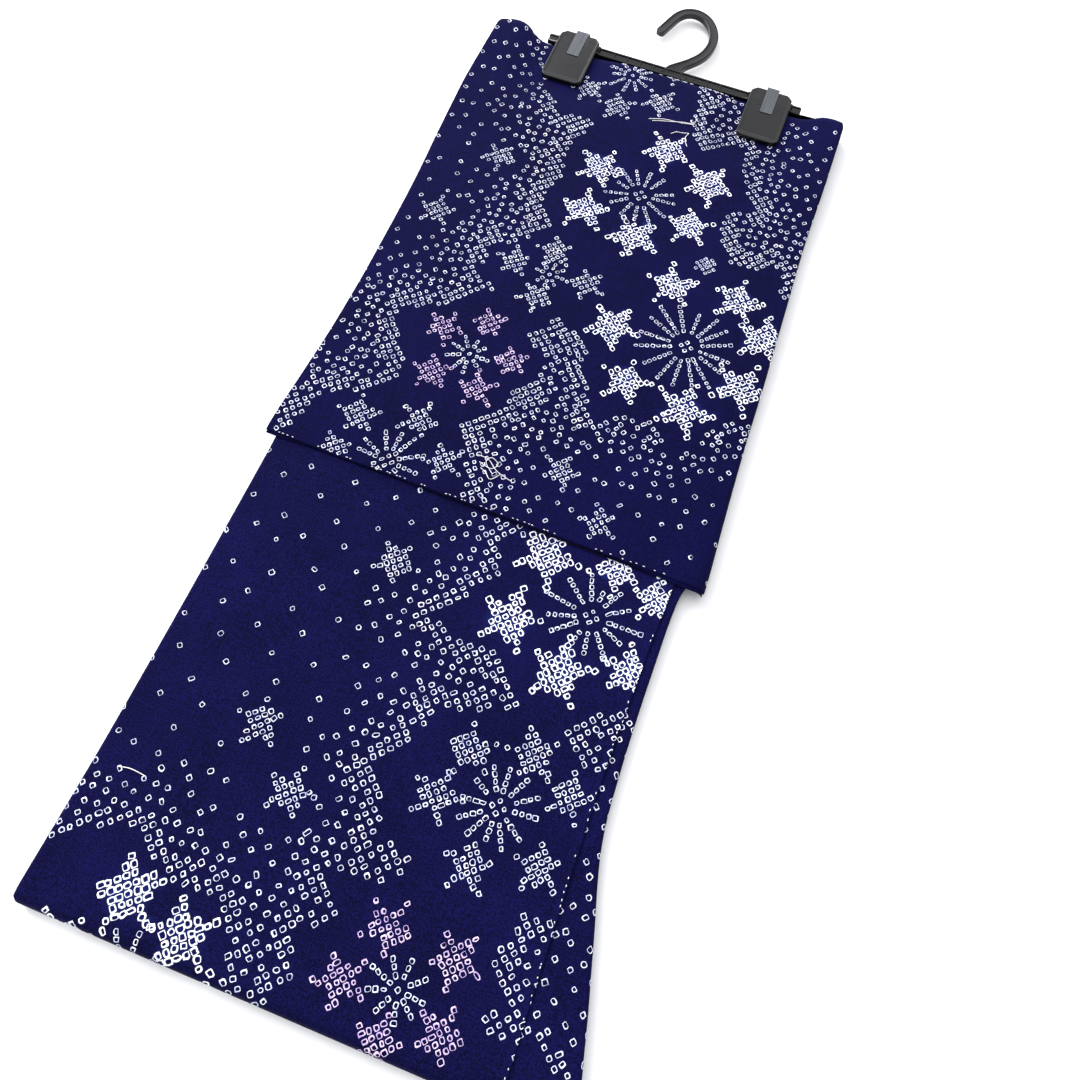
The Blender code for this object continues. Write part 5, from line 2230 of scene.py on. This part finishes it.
# Threads
@dataclass(frozen=True)
class ThreadTail:
    """A loose end of tacking thread that lies on the cloth."""

    places: tuple[Pair, ...]  # across and t of the points that it passes
    on_sleeve: bool = True
    arch: float = 0.9 * MM  # how high it stands between its ends
    rest: float = 0.30 * MM  # height of its middle line where it lies on the cloth
    steps: int = 14  # from place to place

    def route(self) -> Array:
        """Points along the thread.

        Returns:
            The points, from end to end.
        """
        flat = np.array([(a, b, 0.0) for a, b in self.places])
        eased = eased_route(flat, self.steps * (len(self.places) - 1))
        share = np.linspace(0, 1, len(eased))
        wobble = 0.5 + 0.5 * np.sin(share * 9 + self.places[0][0] * 400)
        rise = self.rest + self.arch * np.sin(share * math.pi) * wobble
        lay = SleeveLay() if self.on_sleeve else BodyLay()
        return lay.place(eased[:, 0], eased[:, 1], -rise)


@dataclass(frozen=True)
class StitchRow:
    """A row of small running stitches, of which only some come up through the cloth."""

    name: str
    start: Pair  # across and t; on the body, across is counted from the side seam
    end: Pair
    slot: str
    on_sleeve: bool = True
    pitch: float = 4.1 * MM
    length: float = 1.2 * MM
    shown: float = 0.62  # share of the stitches that come up
    height: float = 0.22 * MM
    seed: int = 12

    def routes(self) -> list[Array]:
        """Points along each stitch.

        Returns:
            The points of each stitch that shows.
        """
        random = np.random.default_rng(self.seed)
        start, end = np.array(self.start), np.array(self.end)
        count = int(math.dist(start, end) / self.pitch)
        way = (end - start) / math.dist(start, end)
        share = np.linspace(0.0, 1.0, 5)
        rise = self.height * np.sin(share * math.pi) - 0.05 * MM
        made = []
        for at in range(count):
            if random.uniform() > self.shown:
                continue
            middle = start + (end - start) * (at + random.uniform(0.2, 0.8)) / count
            middle = middle + random.normal(0, 0.15 * MM, 2)
            half = 0.5 * self.length * random.uniform(0.7, 1.3) * way
            line = middle + (2 * share[:, None] - 1) * half
            if self.on_sleeve:
                made.append(SleeveLay().place(line[:, 0], line[:, 1], -rise))
            else:
                aside = curve(PACKET.body_rows, "seam", line[:, 1]) + line[:, 0]
                made.append(BodyLay().place(aside, line[:, 1], -rise))
        return made


@dataclass
class Threads:
    """Sewing that shows: tacking tails, and stitches along the hem and the seam."""

    radius: float = 0.30 * MM
    rows: tuple[StitchRow, ...] = (
        StitchRow("hem_stitches", (-0.168, 0.4866), (0.158, 0.4866), "cotton_sleeve"),
        StitchRow("seam_stitches", (-0.7 * MM, 0.503), (-0.7 * MM, 0.838), "cotton_back",
                  on_sleeve=False, pitch=4.6 * MM, length=1.0 * MM, shown=0.42, seed=13),
    )
    around: int = 6
    tails: tuple[ThreadTail, ...] = (
        ThreadTail(((0.0013, 0.0658), (0.0180, 0.0602), (0.0330, 0.0590), (0.0424, 0.0564))),
        ThreadTail(((0.0050, 0.0668), (0.0200, 0.0614), (0.0345, 0.0578), (0.0418, 0.0556))),
        ThreadTail(((0.0259, 0.0755), (0.0310, 0.0722), (0.0413, 0.0689))),
        ThreadTail(((0.0418, 0.0560), (0.0432, 0.0510), (0.0413, 0.0460)), arch=1.5 * MM),
        ThreadTail(((0.0413, 0.0689), (0.0400, 0.0770), (0.0442, 0.0849)), arch=1.2 * MM),
        ThreadTail(((-0.0155, 0.4480), (-0.0060, 0.4490), (0.0040, 0.4560), (0.0171, 0.4596))),
        ThreadTail(((-0.0092, 0.4574), (-0.0040, 0.4600), (0.0009, 0.4642), (0.0064, 0.4575)),
                   arch=1.6 * MM),
        ThreadTail(((-0.0120, 0.4530), (-0.0020, 0.4555), (0.0020, 0.4500), (-0.0040, 0.4470),
                    (-0.0070, 0.4520), (0.0010, 0.4590)), arch=1.6 * MM),
        ThreadTail(((-0.1505, 0.7456), (-0.1420, 0.7440), (-0.1309, 0.7449)), on_sleeve=False),
    )

    def build(self) -> list[Piece]:
        """Make the tails and the stitches.

        Returns:
            The tails, and each row of stitches.
        """
        tails = self.tubes("tacking_thread_tails", [tail.route() for tail in self.tails], "cotton_sleeve")
        return [tails] + [self.tubes(row.name, row.routes(), row.slot) for row in self.rows]

    def tubes(self, name: str, routes: Sequence[Array], slot: str) -> Piece:
        """Make one piece of thin tubes.

        Args:
            name: the piece's name.
            routes: the points of each tube.
            slot: handed on to piece_from.

        Returns:
            The piece.
        """
        angles = np.arange(self.around) * 2 * math.pi / self.around
        points, faces = [], []
        for route in routes:
            ahead = directions(route)
            side = np.cross(ahead, UPWARD)
            side /= np.maximum(np.linalg.norm(side, axis=1), 1e-9)[:, None]
            upward = np.cross(side, ahead)
            ring = (side[:, None] * np.cos(angles)[:, None]
                    + upward[:, None] * np.sin(angles)[:, None]) * self.radius
            faces += skin(len(route), self.around, first=sum(map(len, points)))
            points.append((route[:, None] + ring).reshape(-1, 3))
        return piece_from(name, np.concatenate(points), faces, [TwistedThread()], slot)


# Studio
@dataclass(frozen=True)
class Studio:
    """Pale floor, soft light and the camera."""

    location: Triple = (0.10934, -0.28641, 0.57468)
    target: Triple = (0.05192, -0.07012, 0.0)
    roll: float = 5.96  # degrees
    lens: float = 27.03  # mm, on a 36 mm sensor
    floor_size: float = 8.0
    floor_drop: float = 0.3 * MM  # how far it lies below the part

    def build(self) -> list[Piece]:
        """Make the floor, the lamps, the sky and the camera.

        Returns:
            The floor.
        """
        half = self.floor_size / 2
        z = -self.floor_drop
        mesh = bpy.data.meshes.new("studio_floor")
        mesh.from_pydata([(-half, -half, z), (half, -half, z), (half, half, z), (-half, half, z)],
                         [], [(0, 1, 2, 3)])
        mesh.materials.append(PaleCard().material())
        floor = bpy.data.objects.new("studio_floor", mesh)
        put_in_scene(floor)
        self.lamp("ceiling_softbox", (-0.1, 0.4, 2.4), size=2.6, power=30)
        self.lamp("window_softbox", (-2.0, 1.45, 1.45), size=1.9, power=105)
        self.sky((-0.68, 0.64, 0.36), bright=1.32, dim=0.30)
        self.camera()
        bpy.context.scene.view_settings.view_transform = "Standard"
        return [floor]

    def lamp(self, name: str, place: Triple, size: float, power: float) -> None:
        """Add a square softbox that points at the middle of the floor.

        Args:
            name: the lamp's name.
            place: where it hangs.
            size: length of its sides.
            power: its strength, in watts.
        """
        data = bpy.data.lights.new(name, "AREA")
        data.size = size
        data.energy = power
        lamp = bpy.data.objects.new(name, data)
        lamp.location = place
        lamp.rotation_euler = (Vector() - Vector(place)).to_track_quat("-Z", "Y").to_euler()
        put_in_scene(lamp)

    def sky(self, toward: Triple, bright: float, dim: float) -> None:
        """Set a white room whose window side is bright.

        Args:
            toward: the direction of the window, about 1 long.
            bright, dim: strength on the window's side, and opposite it.
        """
        world = bpy.data.worlds.new("white_room")
        world.use_nodes = True
        tree = world.node_tree
        background = tree.nodes["Background"]
        background.inputs["Color"].default_value = linear("#f7f8fb")
        way = add_node(tree, "TexCoord", out="Generated")
        share = add_node(tree, "VectorMath", {1: toward}, {0: way}, "Value", operation="DOT_PRODUCT")
        strength = add_node(tree, "MapRange",
                            {"From Min": -1.0, "From Max": 1.0, "To Min": dim, "To Max": bright},
                            {"Value": share})
        tree.links.new(strength, background.inputs["Strength"])
        bpy.context.scene.world = world

    def camera(self) -> None:
        """Place the camera above the packet's lower half."""
        data = bpy.data.cameras.new("camera")
        data.sensor_width = 36.0
        data.lens = self.lens
        data.clip_start = 0.01
        camera = bpy.data.objects.new("camera", data)
        way = Vector(self.target) - Vector(self.location)
        turn = way.to_track_quat("-Z", "Y").to_matrix() @ Matrix.Rotation(
            math.radians(self.roll), 3, "Z")
        camera.matrix_world = Matrix.Translation(self.location) @ turn.to_4x4()
        put_in_scene(camera)
        bpy.context.scene.camera = camera


def main() -> None:
    """Build the studio, the robe and its hanger."""
    logging.basicConfig(level=logging.INFO, format="%(name)s: %(message)s")
    clips = [Clip(name, centre) for name, centre in zip(("left", "right"), PACKET.clip_centres)]
    for group in (Studio(), Robe(), Hanger(), *clips, Threads()):
        for piece in group.build():
            log.info("%s: %d faces", piece.name, len(piece.data.polygons))


if __name__ == "__main__":
    main()
